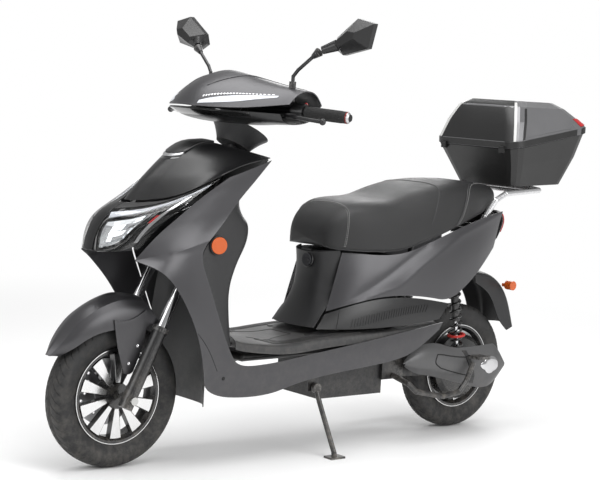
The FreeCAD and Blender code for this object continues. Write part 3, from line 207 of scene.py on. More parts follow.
def fill_grain(tree, knobs):
    """Pebbled skin: a noise at the grain scale plus a cell pattern at 1.7 times it. Mottle
    is a slow noise for uneven gloss and colour."""
    place = wire(tree, "TexCoord").outputs["Object"]
    noise = wire(tree, "TexNoise", {"Vector": place, "Scale": knobs["Fineness"], "Detail": 3.0})
    finer = wire(tree, "Math", {0: knobs["Fineness"], 1: 1.7}, operation="MULTIPLY")
    cells = wire(tree, "TexVoronoi", {"Vector": place, "Scale": finer.outputs[0]})
    both = wire(tree, "Math", {0: noise.outputs["Fac"], 1: cells.outputs["Distance"]}, operation="ADD")
    slow = wire(tree, "TexNoise", {"Vector": place, "Scale": knobs["Mottling"], "Detail": 4.0})
    return both.outputs[0], slow.outputs["Fac"]


def fill_dust(tree, knobs):
    """Dust: full at the ground, none above Reach, broken up by a noise, times Amount."""
    place = wire(tree, "TexCoord").outputs["Object"]
    height = wire(tree, "SeparateXYZ", {0: place}).outputs["Z"]
    low = wire(tree, "MapRange", {"Value": height, "From Min": knobs["Reach"], "From Max": 0.0})
    specks = wire(tree, "TexNoise", {"Vector": place, "Scale": 38.0, "Detail": 8.0, "Roughness": 0.7})
    sharp = wire(tree, "MapRange", {"Value": specks.outputs["Fac"], "From Min": 0.42, "From Max": 0.7})
    both = wire(tree, "Math", {0: low.outputs[0], 1: sharp.outputs[0]}, operation="MULTIPLY")
    return [wire(tree, "Math", {0: both.outputs[0], 1: knobs["Amount"]}, operation="MULTIPLY").outputs[0]]


def fill_edges(tree, knobs):
    """Edge wear: where the surface is sharply convex (pointiness over 0.52), broken up by a
    noise, times Amount."""
    place = wire(tree, "TexCoord").outputs["Object"]
    point = wire(tree, "NewGeometry").outputs["Pointiness"]
    edge = wire(tree, "MapRange", {"Value": point, "From Min": 0.52, "From Max": 0.6})
    chips = wire(tree, "TexNoise", {"Vector": place, "Scale": 160.0, "Detail": 5.0})
    some = wire(tree, "MapRange", {"Value": chips.outputs["Fac"], "From Min": 0.4, "From Max": 0.62})
    both = wire(tree, "Math", {0: edge.outputs[0], 1: some.outputs[0]}, operation="MULTIPLY")
    return [wire(tree, "Math", {0: both.outputs[0], 1: knobs["Amount"]}, operation="MULTIPLY").outputs[0]]


GRAIN = effect("moulded_grain", {"Fineness": 900.0, "Mottling": 9.0}, ["Grain", "Mottle"], fill_grain)
DUST = effect("road_dust", {"Reach": 0.3, "Amount": 0.3}, ["Mask"], fill_dust)
WEAR = effect("edge_wear", {"Amount": 0.5}, ["Mask"], fill_edges)
DUST_COLOUR = (0.32, 0.29, 0.25, 1)


def finish(name, colour, rough, metal=0.0, fineness=900.0, depth=0.00012, mottle=0.1, dust=0.0,
           dust_reach=0.35, wear=0.0, worn=(0.4, 0.4, 0.4), **sockets):
    """A material: colour darkens and lightens with the mottle, is rubbed to `worn` on edges
    and dusted low down; roughness follows the mottle; the grain goes through a Bump."""
    made = bpy.data.materials.new(name)
    made.use_nodes = True
    tree = made.node_tree
    shader = tree.nodes["Principled BSDF"]
    grain = wire(tree, "Group", {}, node_tree=GRAIN)
    grain.inputs["Fineness"].default_value = fineness
    low = [channel * (1 - mottle) for channel in colour] + [1]
    high = [min(1, channel * (1 + mottle)) for channel in colour] + [1]
    base = wire(tree, "Mix", {"Factor": grain.outputs["Mottle"], 6: low, 7: high}, data_type="RGBA")
    edges = wire(tree, "Group", {}, node_tree=WEAR)
    edges.inputs["Amount"].default_value = wear
    rubbed = wire(tree, "Mix", {"Factor": edges.outputs["Mask"], 6: base.outputs[2], 7: [*worn, 1]},
                  data_type="RGBA")
    dirt = wire(tree, "Group", {}, node_tree=DUST)
    dirt.inputs["Reach"].default_value = dust_reach
    dirt.inputs["Amount"].default_value = dust
    dusty = wire(tree, "Mix", {"Factor": dirt.outputs["Mask"], 6: rubbed.outputs[2], 7: DUST_COLOUR},
                 data_type="RGBA")
    gloss = wire(tree, "MapRange", {"Value": grain.outputs["Mottle"], "From Min": 0.3, "From Max": 0.7,
                                    "To Min": rough * 0.85, "To Max": rough * 1.15})
    bump = wire(tree, "Bump", {"Height": grain.outputs["Grain"], "Distance": depth, "Strength": 1.0})
    tree.links.new(dusty.outputs[2], shader.inputs["Base Color"])
    tree.links.new(gloss.outputs[0], shader.inputs["Roughness"])
    tree.links.new(bump.outputs["Normal"], shader.inputs["Normal"])
    shader.inputs["Metallic"].default_value = metal
    for socket, value in sockets.items():
        shader.inputs[socket.replace("_", " ")].default_value = value
    return made


def dress(material, *names):
    """Gives CAD nodes their finish."""
    for name in names:
        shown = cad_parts[name].data
        shown.materials.clear()
        shown.materials.append(material)


POWDER_COAT = finish("powder_coat", (0.012, 0.012, 0.013), 0.36, fineness=500, depth=0.00006,
                     dust=0.5, wear=0.5, worn=(0.2, 0.19, 0.18), Coat_Weight=0.25, Coat_Roughness=0.2)
STEEL = finish("plated_steel", (0.5, 0.5, 0.49), 0.24, metal=1.0, fineness=300, depth=0.00003,
               dust=0.25)
PLASTIC = finish("moulded_plastic", (0.017, 0.017, 0.018), 0.42, fineness=1100, depth=0.0001,
                 dust=0.22, wear=0.25, worn=(0.06, 0.06, 0.06))
dress(POWDER_COAT, "main_frame", "footrest_bars", "steering_stem", "swingarm", "side_stand",
      "left_footrest_peg", "right_footrest_peg", "handlebar", "mirror_arms", "brake_caliper")
dress(STEEL, "headset_bearings", "front_axle", "ignition_key")


# ---- Battery bay --------------------------------------------------------------------
# Battery pack in shrink-wrapped sheet, its moulded case under the floor, the finned
# controller and the storage tub under the seat. All are hung from the frame by screws.
BATTERY_WRAP = finish("battery_wrap", (0.02, 0.05, 0.12), 0.3, fineness=200, depth=0.0001)
BARE_CASTING = finish("bare_casting", (0.42, 0.42, 0.42), 0.45, metal=1.0, fineness=700,
                      depth=0.00015, dust=0.4)
dress(BATTERY_WRAP, "battery_pack")
dress(BARE_CASTING, "motor_controller")
dress(PLASTIC, "battery_box", "underseat_tub", "seat_base")


# ---- Rear shocks --------------------------------------------------------------------
# Pair of coil-over shocks: black bodies, chromed damper rods and black coil springs, with a
# red dust wiper pressed on the foot of each spring.
MM = 0.001


def ahead(points):
    """Points in millimetres measured back from the front axle, as frame points in metres."""
    return np.asarray(points, float) * MM + (0, FRONT, 0)


def behind(points):
    """Points in millimetres measured back from the rear axle, as frame points in metres."""
    return np.asarray(points, float) * MM + (0, REAR, 0)


def grid_faces(rows, columns, wrap_rows=False, wrap_columns=False):
    """Quads over a grid of numbered points, row by row, wrapped round where asked."""
    r = np.arange(rows if wrap_rows else rows - 1)[:, None]
    c = np.arange(columns if wrap_columns else columns - 1)[None, :]
    r_next, c_next = (r + 1) % rows, (c + 1) % columns
    quads = [r * columns + c, r * columns + c_next, r_next * columns + c_next, r_next * columns + c]
    return np.stack([np.broadcast_to(q, np.broadcast_shapes(r.shape, c.shape)) for q in quads],
                    -1).reshape(-1, 4)


def gather(*solids):
    """Several (points, faces) solids as one."""
    points, faces, count = [], [], 0
    for some_points, some_faces in solids:
        points.append(np.asarray(some_points, float).reshape(-1, 3))
        faces.extend((np.asarray(face) + count).tolist() for face in some_faces)
        count += len(points[-1])
    return np.concatenate(points), faces


def flipped(solid):
    """The solid's mirror image across the scooter's middle plane."""
    points, faces = solid
    return np.asarray(points) * (-1, 1, 1), faces


def piece(name, solid, material, body, stands_for=(), crease=32, soft=0.0):
    """A closed mesh as a named piece: doubles merged, faces turned outwards, smooth but for
    edges sharper than `crease` degrees, and rounded by a small bevel where soft is set."""
    points, faces = solid
    mesh = bpy.data.meshes.new(name)
    mesh.from_pydata(np.asarray(points).reshape(-1, 3), [], faces)
    work = bmesh.new()
    work.from_mesh(mesh)
    bmesh.ops.remove_doubles(work, verts=work.verts, dist=1e-6)
    bmesh.ops.dissolve_degenerate(work, edges=work.edges, dist=1e-7)
    bmesh.ops.recalc_face_normals(work, faces=work.faces)
    work.to_mesh(mesh)
    work.free()
    mesh.shade_smooth()
    mesh.set_sharp_from_angle(angle=math.radians(crease))
    mesh.materials.append(material)
    made = bpy.data.objects.new(name, mesh)
    bpy.context.scene.collection.objects.link(made)
    if soft:
        rounding = made.modifiers.new("rounding", "BEVEL")
        rounding.width = soft
        rounding.segments = 2
        rounding.limit_method = "ANGLE"
        rounding.angle_limit = math.radians(crease)
        rounding.harden_normals = False
    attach(made, body)
    if stands_for:
        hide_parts(*stands_for)
    return made


def across(direction):
    """Two unit vectors square to each direction, from the world axis least along it."""
    d = np.asarray(direction, float)
    d = d / np.linalg.norm(d)
    helper = np.eye(3)[np.argmin(abs(d))]
    side = np.cross(d, helper)
    side /= np.linalg.norm(side)
    return side, np.cross(d, side)


def turned(profile, start, direction, segments=48):
    """A profile of (radius, place along) pairs turned about the line from start along
    direction; a closed profile is given with its first pair again at the end."""
    profile = np.asarray(profile, float)
    d = np.asarray(direction, float) / np.linalg.norm(direction)
    side, up = across(d)
    angle = np.linspace(0, 2 * np.pi, segments, endpoint=False)[:, None, None]
    ring = np.cos(angle) * side + np.sin(angle) * up
    points = np.asarray(start, float) + ring * profile[None, :, :1] + d * profile[None, :, 1:]
    return points.reshape(-1, 3), grid_faces(segments, len(profile), wrap_rows=True)


def shock_line():
    """Top eye and foot eye of the left shock in metres."""
    return behind((110, -125, 510)), behind((110, -82, 222))


RED_RUBBER = finish("red_wiper", (0.45, 0.02, 0.015), 0.45, fineness=600)
SPRING_PAINT = finish("spring_paint", (0.01, 0.01, 0.01), 0.25, fineness=400, depth=0.00003,
                      dust=0.2, Coat_Weight=0.4)
CHROME = finish("chrome", (0.62, 0.62, 0.63), 0.09, metal=1.0, fineness=120, depth=0.00001)
dress(POWDER_COAT, "shock_bodies")
dress(SPRING_PAINT, "shock_springs")
dress(CHROME, "shock_rods", "fork_stanchions")
WIPER_AT = 0.192
WIPER_PROFILE = [(0.021, 0), (0.027, 0), (0.0285, 0.002), (0.0285, 0.005), (0.027, 0.007),
                 (0.021, 0.007), (0.021, 0)]


def shock_wiper():
    """Ring pressed round a shock's rod where it enters the body."""
    top, foot = shock_line()
    line = foot - top
    return turned(WIPER_PROFILE, top + line / np.linalg.norm(line) * WIPER_AT, line)


piece("shock_wipers", gather(shock_wiper(), flipped(shock_wiper())), RED_RUBBER, "shock_upper")


# ---- Wheels -------------------------------------------------------------------------
# Cast ten-inch wheels, painted black, with the blade faces and the rim lip machined
# bright; drilled disc in front, ribbed hub motor behind; tubeless tyres with a grooved
# road tread, dusty from use.
def weights(count, t):
    """Weights of `count` poles at parameters t from 0 to 1 on a quadratic B-spline that
    starts and ends on its end poles, by Cox and de Boor's recursion."""
    degree = min(2, count - 1)
    knots = np.concatenate([np.zeros(degree), np.linspace(0, 1, count - degree + 1), np.ones(degree)])
    t = np.clip(np.asarray(t, float), 0, 1 - 1e-9)[..., None]
    w = ((knots[:-1] <= t) & (t < knots[1:])).astype(float)
    for d in range(1, degree + 1):
        rise = np.maximum(knots[d:-1] - knots[:-d - 1], 1e-12)
        fall = np.maximum(knots[d + 1:] - knots[1:-d], 1e-12)
        w = w[..., :-1] * (t - knots[:-d - 1]) / rise + w[..., 1:] * (knots[d + 1:] - t) / fall
    return w


def curve(poles, steps=8):
    """Smooth line led by its poles; a pole given twice makes a corner."""
    poles = np.asarray(poles, float)
    spans = max(1, len(poles) - 2)
    return weights(len(poles), np.linspace(0, 1, spans * steps + 1)) @ poles


TYRE_SEGMENTS = 600
GROOVE_PITCHES = 46
GROOVE_DEPTH = 0.0035
TYRE_SIDE = [(134, 25.5), (138, 26.5), (150, 33), (164, 37.6), (180, 37), (191, 31), (196, 24),
             (198.6, 13), (199, 0)]
TYRE_LINING = [(192, 0), (186, 22), (165, 31), (150, 28), (136, 20), (127, 20), (127, 25.5)]


def tyre(axle_y):
    """Round profile turned about the axle. The tread is cut by slanted grooves: where a
    saw-tooth of angle plus slope times |x| is near zero, the radius drops by their depth."""
    side = curve(TYRE_SIDE, 7) * MM
    lining = np.array(TYRE_LINING) * MM
    ring = np.concatenate([side, side[-2::-1] * (1, -1), lining[::-1] * (1, -1), lining[1:]])
    radius, x = ring[:, 0], ring[:, 1]
    angle = np.linspace(0, 2 * np.pi, TYRE_SEGMENTS, endpoint=False)[:, None]
    lean = np.abs(x) / 0.038 * 1.6 + np.where(x > 0, 0.5, 0.0)
    saw = np.abs((angle / (2 * np.pi) * GROOVE_PITCHES + lean + 0.5) % 1 - 0.5)
    zone = (np.abs(x) > 0.004) & (np.abs(x) < 0.0345) & (radius > 0.178)
    cut = np.clip(1 - saw / 0.09, 0, 1) * zone * GROOVE_DEPTH
    centre = np.clip(1 - np.abs(np.abs(x) - 0.004) / 0.0016, 0, 1) * (radius > 0.19) * GROOVE_DEPTH
    r = radius - np.maximum(cut, centre)
    points = np.stack([np.broadcast_to(x, r.shape), axle_y + r * np.sin(angle),
                       AXLE_Z + r * np.cos(angle)], -1)
    return points.reshape(-1, 3), grid_faces(TYRE_SEGMENTS, len(ring), True, True)


RUBBER = finish("tyre_rubber", (0.014, 0.014, 0.0145), 0.62, fineness=420, depth=0.0003, mottle=0.2,
                dust=0.2, dust_reach=0.5)
WHEEL_BLACK = finish("wheel_black", (0.009, 0.009, 0.01), 0.26, fineness=260, depth=0.00005,
                     dust=0.35, Coat_Weight=0.5, Coat_Roughness=0.12)
MACHINED = finish("machined_alloy", (0.72, 0.72, 0.72), 0.22, metal=1.0, fineness=220, depth=0.00003,
                  mottle=0.05, dust=0.2)
DISC_STEEL = finish("disc_steel", (0.42, 0.42, 0.43), 0.3, metal=1.0, fineness=300, depth=0.00005)
piece("front_tyre_tread", tyre(FRONT), RUBBER, "front_wheel", ["front_tyre"], crease=28)
piece("rear_tyre_tread", tyre(REAR), RUBBER, "rear_wheel", ["rear_tyre"], crease=28)
dress(WHEEL_BLACK, "front_rim", "hub_motor")
dress(DISC_STEEL, "front_disc")


def plate(outline, start, end):
    """Flat plate: an outline of points moved by `start` and by `end`, capped and walled."""
    outline = np.asarray(outline, float)
    count = len(outline)
    points = np.concatenate([outline + start, outline + end])
    low = list(range(count))
    walls = [(k, (k + 1) % count, count + (k + 1) % count, count + k) for k in low]
    return points, [low[::-1], [k + count for k in low], *walls]


BLADES = 10
BLADE_OUTLINE = [(-6.4, 36), (6.4, 36), (9.5, 60), (17.2, 116.5), (9, 117.6), (-9, 117.6), (-17.2, 116.5),
                 (-9.5, 60)]
BLADE_FACE_X = 25.9
BLADE_SKIN = 0.9


def blade_faces(side):
    """Ten machined blade faces: one outline turned about the axle in equal steps."""
    outline = np.array(BLADE_OUTLINE) * MM
    x = side * BLADE_FACE_X * MM if side > 0 else 5.9 * MM
    faces = []
    for k in range(BLADES):
        a = 2 * np.pi * k / BLADES
        y = outline[:, 0] * np.cos(a) + outline[:, 1] * np.sin(a)
        z = outline[:, 1] * np.cos(a) - outline[:, 0] * np.sin(a)
        points = np.stack([np.full(len(y), x), FRONT + y, AXLE_Z + z], -1)
        faces.append(plate(points, (0, 0, 0), (side * BLADE_SKIN * MM, 0, 0)))
    return gather(*faces)


def lip_ring(axle_y, side):
    """Thin bright ring machined on the rim's lip."""
    ring = [(131.2, 29), (133.2, 29), (133.2, 29.9), (131.2, 29.9), (131.2, 29)]
    return turned(np.array(ring) * MM, (0, axle_y, AXLE_Z), (side, 0, 0), 128)


piece("front_blade_faces", gather(blade_faces(1), blade_faces(-1)), MACHINED, "front_wheel",
      soft=0.0004)
piece("front_lip_rings", gather(lip_ring(FRONT, 1), lip_ring(FRONT, -1)), MACHINED, "front_wheel")
piece("rear_lip_rings", gather(lip_ring(REAR, 1), lip_ring(REAR, -1)), MACHINED, "rear_wheel")


# ---- Fork and front fender ----------------------------------------------------------
# Telescopic fork: chromed stanchions in black die-cast lowers. The painted moulded fender
# has a ridge along each shoulder and a flared tab bolted to each leg with two dome screws.
def across_rows(half_rows):
    """Rows given from the middle outwards, completed with their mirror images."""
    half = np.asarray(half_rows, float)
    return np.concatenate([half[:, :0:-1] * (-1, 1, 1), half], 1)


def sheet(poles, steps=7):
    """Smooth surface led by a grid of poles; a row or column given twice makes a crease."""
    poles = np.asarray(poles, float)
    rows, columns = (max(1, count - 2) * steps + 1 for count in poles.shape[:2])
    u = weights(poles.shape[0], np.linspace(0, 1, rows))
    v = weights(poles.shape[1], np.linspace(0, 1, columns))
    return np.einsum("ai,bj,ijk->abk", u, v, poles)


def facing(surface, inside):
    """Unit normals of a grid of points, from its two directions' cross product, turned
    away from the point `inside`."""
    down, along = np.gradient(surface, axis=0), np.gradient(surface, axis=1)
    normal = np.cross(down, along)
    normal /= np.maximum(np.linalg.norm(normal, axis=2, keepdims=True), 1e-12)
    lean = np.sum(normal * (surface - np.asarray(inside, float)))
    return normal if lean > 0 else -normal


def slab(surface, inside, top, bottom):
    """Closed slab: the surface moved along its normals by `top` and by `bottom` (metres),
    with a wall round its edge."""
    normal = facing(surface, inside)
    rows, columns = surface.shape[:2]
    points = np.concatenate([(surface + normal * top).reshape(-1, 3),
                             (surface + normal * bottom).reshape(-1, 3)])
    skin = grid_faces(rows, columns)
    number = np.arange(rows * columns).reshape(rows, columns)
    edge = np.concatenate([number[0, :-1], number[:-1, -1], number[-1, :0:-1], number[:0:-1, 0]])
    ahead_edge = np.roll(edge, -1)
    wall = np.stack([edge, ahead_edge, ahead_edge + rows * columns, edge + rows * columns], -1)
    return points, np.concatenate([skin[:, ::-1], skin + rows * columns, wall]).tolist()


def ridged(surface, line, height, width, axis=(1, 0, 0)):
    """The surface raised along `axis` beside a line seen from the side: by `height` on the
    line, fading as exp(-distance / width). Heights in metres; below zero it is a groove."""
    points = surface[..., 1:]
    best = np.full(points.shape[:2], np.inf)
    line = np.asarray(line, float)
    for start, end in zip(line, line[1:]):
        run = end - start
        t = np.clip(((points - start) @ run) / (run @ run), 0, 1)
        best = np.minimum(best, np.linalg.norm(points - start - t[..., None] * run, axis=-1))
    return surface + (height * np.exp(-best / width))[..., None] * np.asarray(axis, float)


PAINT = finish("graphite_paint", (0.055, 0.054, 0.058), 0.36, metal=0.5, fineness=2600,
               depth=0.00002, mottle=0.05, dust=0.12, dust_reach=0.45, wear=0.15,
               worn=(0.2, 0.2, 0.2), Coat_Weight=0.25, Coat_Roughness=0.3)
dress(POWDER_COAT, "fork_lowers")
FENDER_STATIONS = [(-216, 320, 12, 4), (-196, 352, 40, 16), (-150, 412, 52, 40), (-100, 448, 56, 62),
                   (-45, 472, 58, 84), (0, 480, 60, 92), (52, 470, 62, 70)]


def fender_rows():
    """Cross sections from the middle outwards; the shoulder pole is doubled into a ridge."""
    rows = []
    for y, z, half, drop in FENDER_STATIONS:
        slope = drop * 0.35
        shoulder = (half * 0.72, y + 7, z - 2 - drop * 0.12)
        rows.append([(0, y, z + 2), (half * 0.4, y + 4, z - 1), shoulder, shoulder,
                     (half, y + 20 + slope * 0.3, z - drop * 0.55),
                     (half + 1, y + 34 + slope * 0.6, z - drop)])
    return ahead(across_rows(rows))


TAB_ROWS = [
    [(60.6, -44, 414), (62.5, -38, 372), (61, -28, 330), (59, -4, 266)],
    [(61.5, -22, 408), (64, -14, 372), (62, -6, 330), (60, 4, 263)],
    [(63, 8, 412), (65, 10, 376), (62, 14, 330), (60, 12, 263)],
    [(64, 34, 424), (65, 36, 384), (62, 38, 338), (60, 20, 266)],
    [(63, 56, 438), (64, 58, 396), (62, 54, 342), (60, 24, 270)],
]
TAB_SCREWS = [(8, 293), (34, 340)]
DOME = [(0, 3.4), (2.2, 3.1), (4.2, 2.2), (5.4, 0.8), (5.6, 0), (5.6, -2), (0, -2)]
fender_inside = ahead((0, 20, 199))
fender = slab(sheet(fender_rows(), 8), fender_inside, 0, -0.0025)
tab = slab(sheet(ahead(TAB_ROWS), 8), ahead((0, 0, 350)), 0, -0.0025)
piece("front_fender_shell", gather(fender, tab, flipped(tab)), PAINT, "fork_slider",
      ["front_fender"])
tab_screws = [turned(np.array(DOME) * MM, ahead((62.5, y, z)), (1, 0, 0), 20) for y, z in TAB_SCREWS]
piece("fender_screws", gather(*tab_screws, *(flipped(s) for s in tab_screws)), CHROME, "fork_slider")


# ---- Front fairings -----------------------------------------------------------------
# The two big painted side covers, injection moulded. Each hangs from the nose, folds in
# along a crease from the beak to the reflector, and sweeps down and back under the floor.
FAIRING_FRONT = [
    ((165, 236, 806), (141, 396, 853), 2), ((163, 158, 760), (152, 338, 800), 5),
    ((154, 86, 702), (156, 276, 742), 9), ((140, 20, 645), (160, 232, 690), 12),
    ((132, -38, 582), (168, 170, 630), 14), ((132, -38, 582), (168, 170, 630), 14),
    ((188, 24, 556), (172, 146, 592), -4), ((182, 92, 482), (172, 186, 505), -2),
    ((174, 150, 385), (172, 226, 408), 0), ((170, 178, 295), (172, 262, 330), 2),
    ((166, 190, 205), (172, 296, 282), 3)]
FAIRING_REAR = [
    ((166, -905, 190), (172, -880, 286), 3), ((166, -773, 226), (172, -770, 300), 3),
    ((166, -640, 242), (172, -640, 316), 3), ((166, -522, 252), (171, -520, 330), 3),
    ((165, -418, 262), (170, -418, 344), 2), ((164, -319, 284), (168, -315, 357), 2),
    ((164, -228, 348), (166, -215, 371), 0)]
RIB_STEPS = 5
WALL = 0.0025


def ribs(place, table):
    """Poles of a panel stretched over ribs: each rib runs straight from its low to its high
    point and swells outwards by 4 t (1 - t) times its bulge."""
    t = np.linspace(0, 1, RIB_STEPS)[:, None]
    rows = []
    for low, high, bulge in table:
        row = np.array(low) + (np.array(high) - low) * t
        row[:, 0] += bulge * 4 * t[:, 0] * (1 - t[:, 0])
        rows.append(row)
    return place(rows)


def both(solid):
    """The left-hand solid and its mirror image."""
    return gather(solid, flipped(solid))


fairing_poles = np.concatenate([ribs(ahead, FAIRING_FRONT), ribs(behind, FAIRING_REAR)])
INSIDE = (0, MID, 0.4)
FAIRING_EDGE = ahead([(0, 60, 603), (0, 176, 636), (0, 280, 722)])[:, 1:]
fairing_skin = ridged(sheet(fairing_poles, 9), FAIRING_EDGE, 0.003, 0.012)
side_fairing = slab(fairing_skin, INSIDE, 0, -WALL)
piece("left_side_fairing", side_fairing, PAINT, "root", ["side_fairings"])
piece("right_side_fairing", flipped(side_fairing), PAINT, "root", ["side_fairings"])


def spot(poles, uv):
    """Surface points at parameters uv (rows, columns), any shape of array."""
    uv = np.asarray(uv, float)
    u, v = weights(poles.shape[0], uv[..., 0]), weights(poles.shape[1], uv[..., 1])
    return np.einsum("...i,...j,ijk->...k", u, v, poles)


def inlay(poles, outline, inside, lift, depth, steps=5):
    """Closed slab that follows part of a panel: the outline is a grid of (u, v) poles on
    the panel, smoothed; the slab's top stands `lift` mm over it and is `depth` mm thick."""
    points = spot(poles, sheet(np.asarray(outline, float), steps))
    return slab(points, inside, lift * MM, (lift - depth) * MM)


def pipe(line, radius, segments=10, closed=False):
    """Round tube along a line of points. Each ring is square to the line's direction and
    turned as little as possible from the last one; the ends are capped."""
    line = np.asarray(line, float)
    run = np.gradient(line, axis=0)
    if closed:
        run = np.roll(line, -1, 0) - np.roll(line, 1, 0)
    run /= np.linalg.norm(run, axis=1, keepdims=True)
    side = across(run[0])[0]
    sides = []
    for direction in run:
        side = side - direction * (side @ direction)
        side = side / np.linalg.norm(side)
        sides.append(side)
    sides = np.array(sides)
    ups = np.cross(run, sides)
    angle = np.linspace(0, 2 * np.pi, segments, endpoint=False)[:, None]
    radius = np.broadcast_to(np.asarray(radius, float), len(line))[:, None, None]
    rings = line[:, None] + radius * (np.cos(angle) * sides[:, None] + np.sin(angle) * ups[:, None])
    faces = grid_faces(len(line), segments, closed, True).tolist()
    if not closed:
        last = (len(line) - 1) * segments
        faces += [list(range(segments)), [last + k for k in range(segments)][::-1]]
    return rings.reshape(-1, 3), faces


# Near-black for tubes laid on the panels as painted shade in their seams and grooves; the skirt plug and the
# footboard's screw caps take it too.
SEAM_SHADE = finish("seam_shadow", (0.004, 0.004, 0.004), 0.7, fineness=300)
# Dark tube along the skirt's seam: painted shade in the seam.
u_skirt = np.array([[0.47, 0.02], [0.5, 0.2], [0.535, 0.33], [0.56, 0.4]])
skirt_seam = pipe(spot(fairing_poles, curve(u_skirt, 10)), 0.0009, 6)
plug_place = spot(fairing_poles, np.array([0.585, 0.46]))
PLUG = [(0, 1.6), (4.2, 1.4), (5.4, 0.4), (5.4, -2), (0, -2)]
skirt_plug = turned(np.array(PLUG) * MM, plug_place, (1, 0, 0), 24)
piece("skirt_seams", both(gather(skirt_seam, skirt_plug)), SEAM_SHADE, "root")


# ---- Nose hood ----------------------------------------------------------------------
# Black moulded top of the nose, folded along two ridges from the headlight up, with a
# raised deck behind a bright cross strip and its dark recess.
HOOD_ROWS = [
    [(0, 2, 730), (45, 46, 734), (45, 46, 734), (90, 98, 745), (130, 152, 773), (163, 206, 812)],
    [(0, 40, 772), (45, 78, 777), (45, 78, 777), (90, 132, 787), (130, 188, 807), (160, 244, 827)],
    [(0, 92, 817), (43, 122, 821), (43, 122, 821), (86, 176, 826), (125, 238, 838), (153, 298, 843)],
    [(0, 148, 862), (40, 168, 864), (40, 168, 864), (80, 212, 860), (118, 282, 857), (146, 346, 852)],
    [(0, 205, 894), (38, 220, 893), (38, 220, 893), (75, 262, 885), (108, 322, 872), (138, 380, 858)],
    [(0, 262, 897), (40, 268, 893), (40, 268, 893), (76, 302, 885), (106, 344, 874), (134, 396, 860)]]
SATIN = finish("satin_plastic", (0.009, 0.009, 0.0095), 0.33, fineness=1500, depth=0.00005,
               dust=0.12, Coat_Weight=0.1, Coat_Roughness=0.3)
SILVER = finish("silver_trim", (0.62, 0.62, 0.63), 0.28, metal=0.9, fineness=900, depth=0.00002)
GLOSS_BLACK = finish("gloss_black", (0.006, 0.006, 0.006), 0.09, fineness=200, depth=0.00001,
                     Coat_Weight=0.6, Coat_Roughness=0.05)
hood_poles = ahead(across_rows(HOOD_ROWS))
hood_inside = ahead((0, 250, 700))
piece("nose_hood_shell", slab(sheet(hood_poles, 8), hood_inside, 0, -WALL), SATIN, "root",
      ["nose_hood"])
DECK = [[(0.63, 0.30), (0.60, 0.4), (0.60, 0.6), (0.63, 0.70)],
        [(0.80, 0.27), (0.80, 0.4), (0.80, 0.6), (0.80, 0.73)],
        [(0.995, 0.30), (0.995, 0.4), (0.995, 0.6), (0.995, 0.70)]]
STRIP = [[(0.585, 0.325), (0.55, 0.42), (0.55, 0.58), (0.585, 0.675)],
         [(0.625, 0.315), (0.592, 0.42), (0.592, 0.58), (0.625, 0.685)]]
RECESS = [[(0.535, 0.345), (0.51, 0.43), (0.51, 0.57), (0.535, 0.655)],
          [(0.583, 0.33), (0.549, 0.43), (0.549, 0.57), (0.583, 0.67)]]
piece("hood_deck", inlay(hood_poles, DECK, hood_inside, 6, 9), SATIN, "root",
      soft=0.0012)
piece("hood_strip", inlay(hood_poles, STRIP, hood_inside, 4.5, 6), SILVER, "root", soft=0.0008)
piece("hood_recess", inlay(hood_poles, RECESS, hood_inside, 0.6, 2), GLOSS_BLACK, "root")


# ---- Headlight ----------------------------------------------------------------------
# Twin lamp in one housing: black case, faceted bright bowls in dark bezels, white light
# guides swept up to the tips, chrome strips beside the fairings, and a clear outer lens.
HEAD_ROWS = [
    [(0, -104, 594), (45, -92, 596), (90, -62, 601), (112, -30, 606), (118, -14, 612)],
    [(0, -100, 625), (45, -90, 628), (92, -60, 632), (122, -22, 640), (132, 10, 652)],
    [(0, -82, 672), (45, -70, 676), (92, -38, 682), (130, 20, 694), (148, 70, 706)],
    [(0, -50, 712), (45, -28, 712), (92, 20, 716), (134, 80, 735), (158, 135, 758)],
    [(0, -14, 724), (45, 26, 726), (91, 84, 736), (132, 142, 764), (165, 200, 802)]]
head_poles = ahead(across_rows(HEAD_ROWS))
head_inside = ahead((0, 150, 640))
CLEAR = finish("clear_lens", (1.0, 1.0, 1.0), 0.02, fineness=60, depth=0.0, mottle=0.0,
               Transmission_Weight=1.0, IOR=1.3)
BOWL = finish("lamp_bowl", (0.78, 0.8, 0.82), 0.12, metal=1.0, fineness=90, depth=0.0001, mottle=0.08)
GUIDE = finish("light_guide", (0.62, 0.64, 0.68), 0.3, fineness=160, depth=0.00005, mottle=0.03,
               Emission_Color=(0.85, 0.9, 1.0, 1), Emission_Strength=0.08)
RED = finish("red_trim", (0.5, 0.02, 0.02), 0.25, fineness=300)


def bowl(outline, deep, facets=7):
    """Faceted dish: a coarse grid over the outline, sunk behind the panel by `deep` mm
    times 1 - the fourth power of the distance from its middle, on flat facets."""
    t = np.linspace(0, 1, facets)
    grid = np.asarray(outline, float)
    u, v = weights(grid.shape[0], t), weights(grid.shape[1], t)
    uv = np.einsum("ai,bj,ijk->abk", u, v, grid)
    points = spot(head_poles, uv)
    far = np.clip(np.maximum(abs(t[:, None] * 2 - 1), abs(t[None, :] * 2 - 1)), 0, 1) ** 4
    zigzag = 3.0 * ((np.add.outer(np.arange(facets), np.arange(facets)) % 2) - 0.5)
    normal = facing(points, head_inside)
    sunk = points - normal * ((4 + deep * (1 - far) + zigzag * (1 - far)) * MM)[..., None]
    return slab(sunk, head_inside, 0, -0.0015)


def swap(outline):
    """The same outline on the other half of the panel (v becomes 1 - v)."""
    return [[(u, 1 - v) for u, v in row] for row in outline]


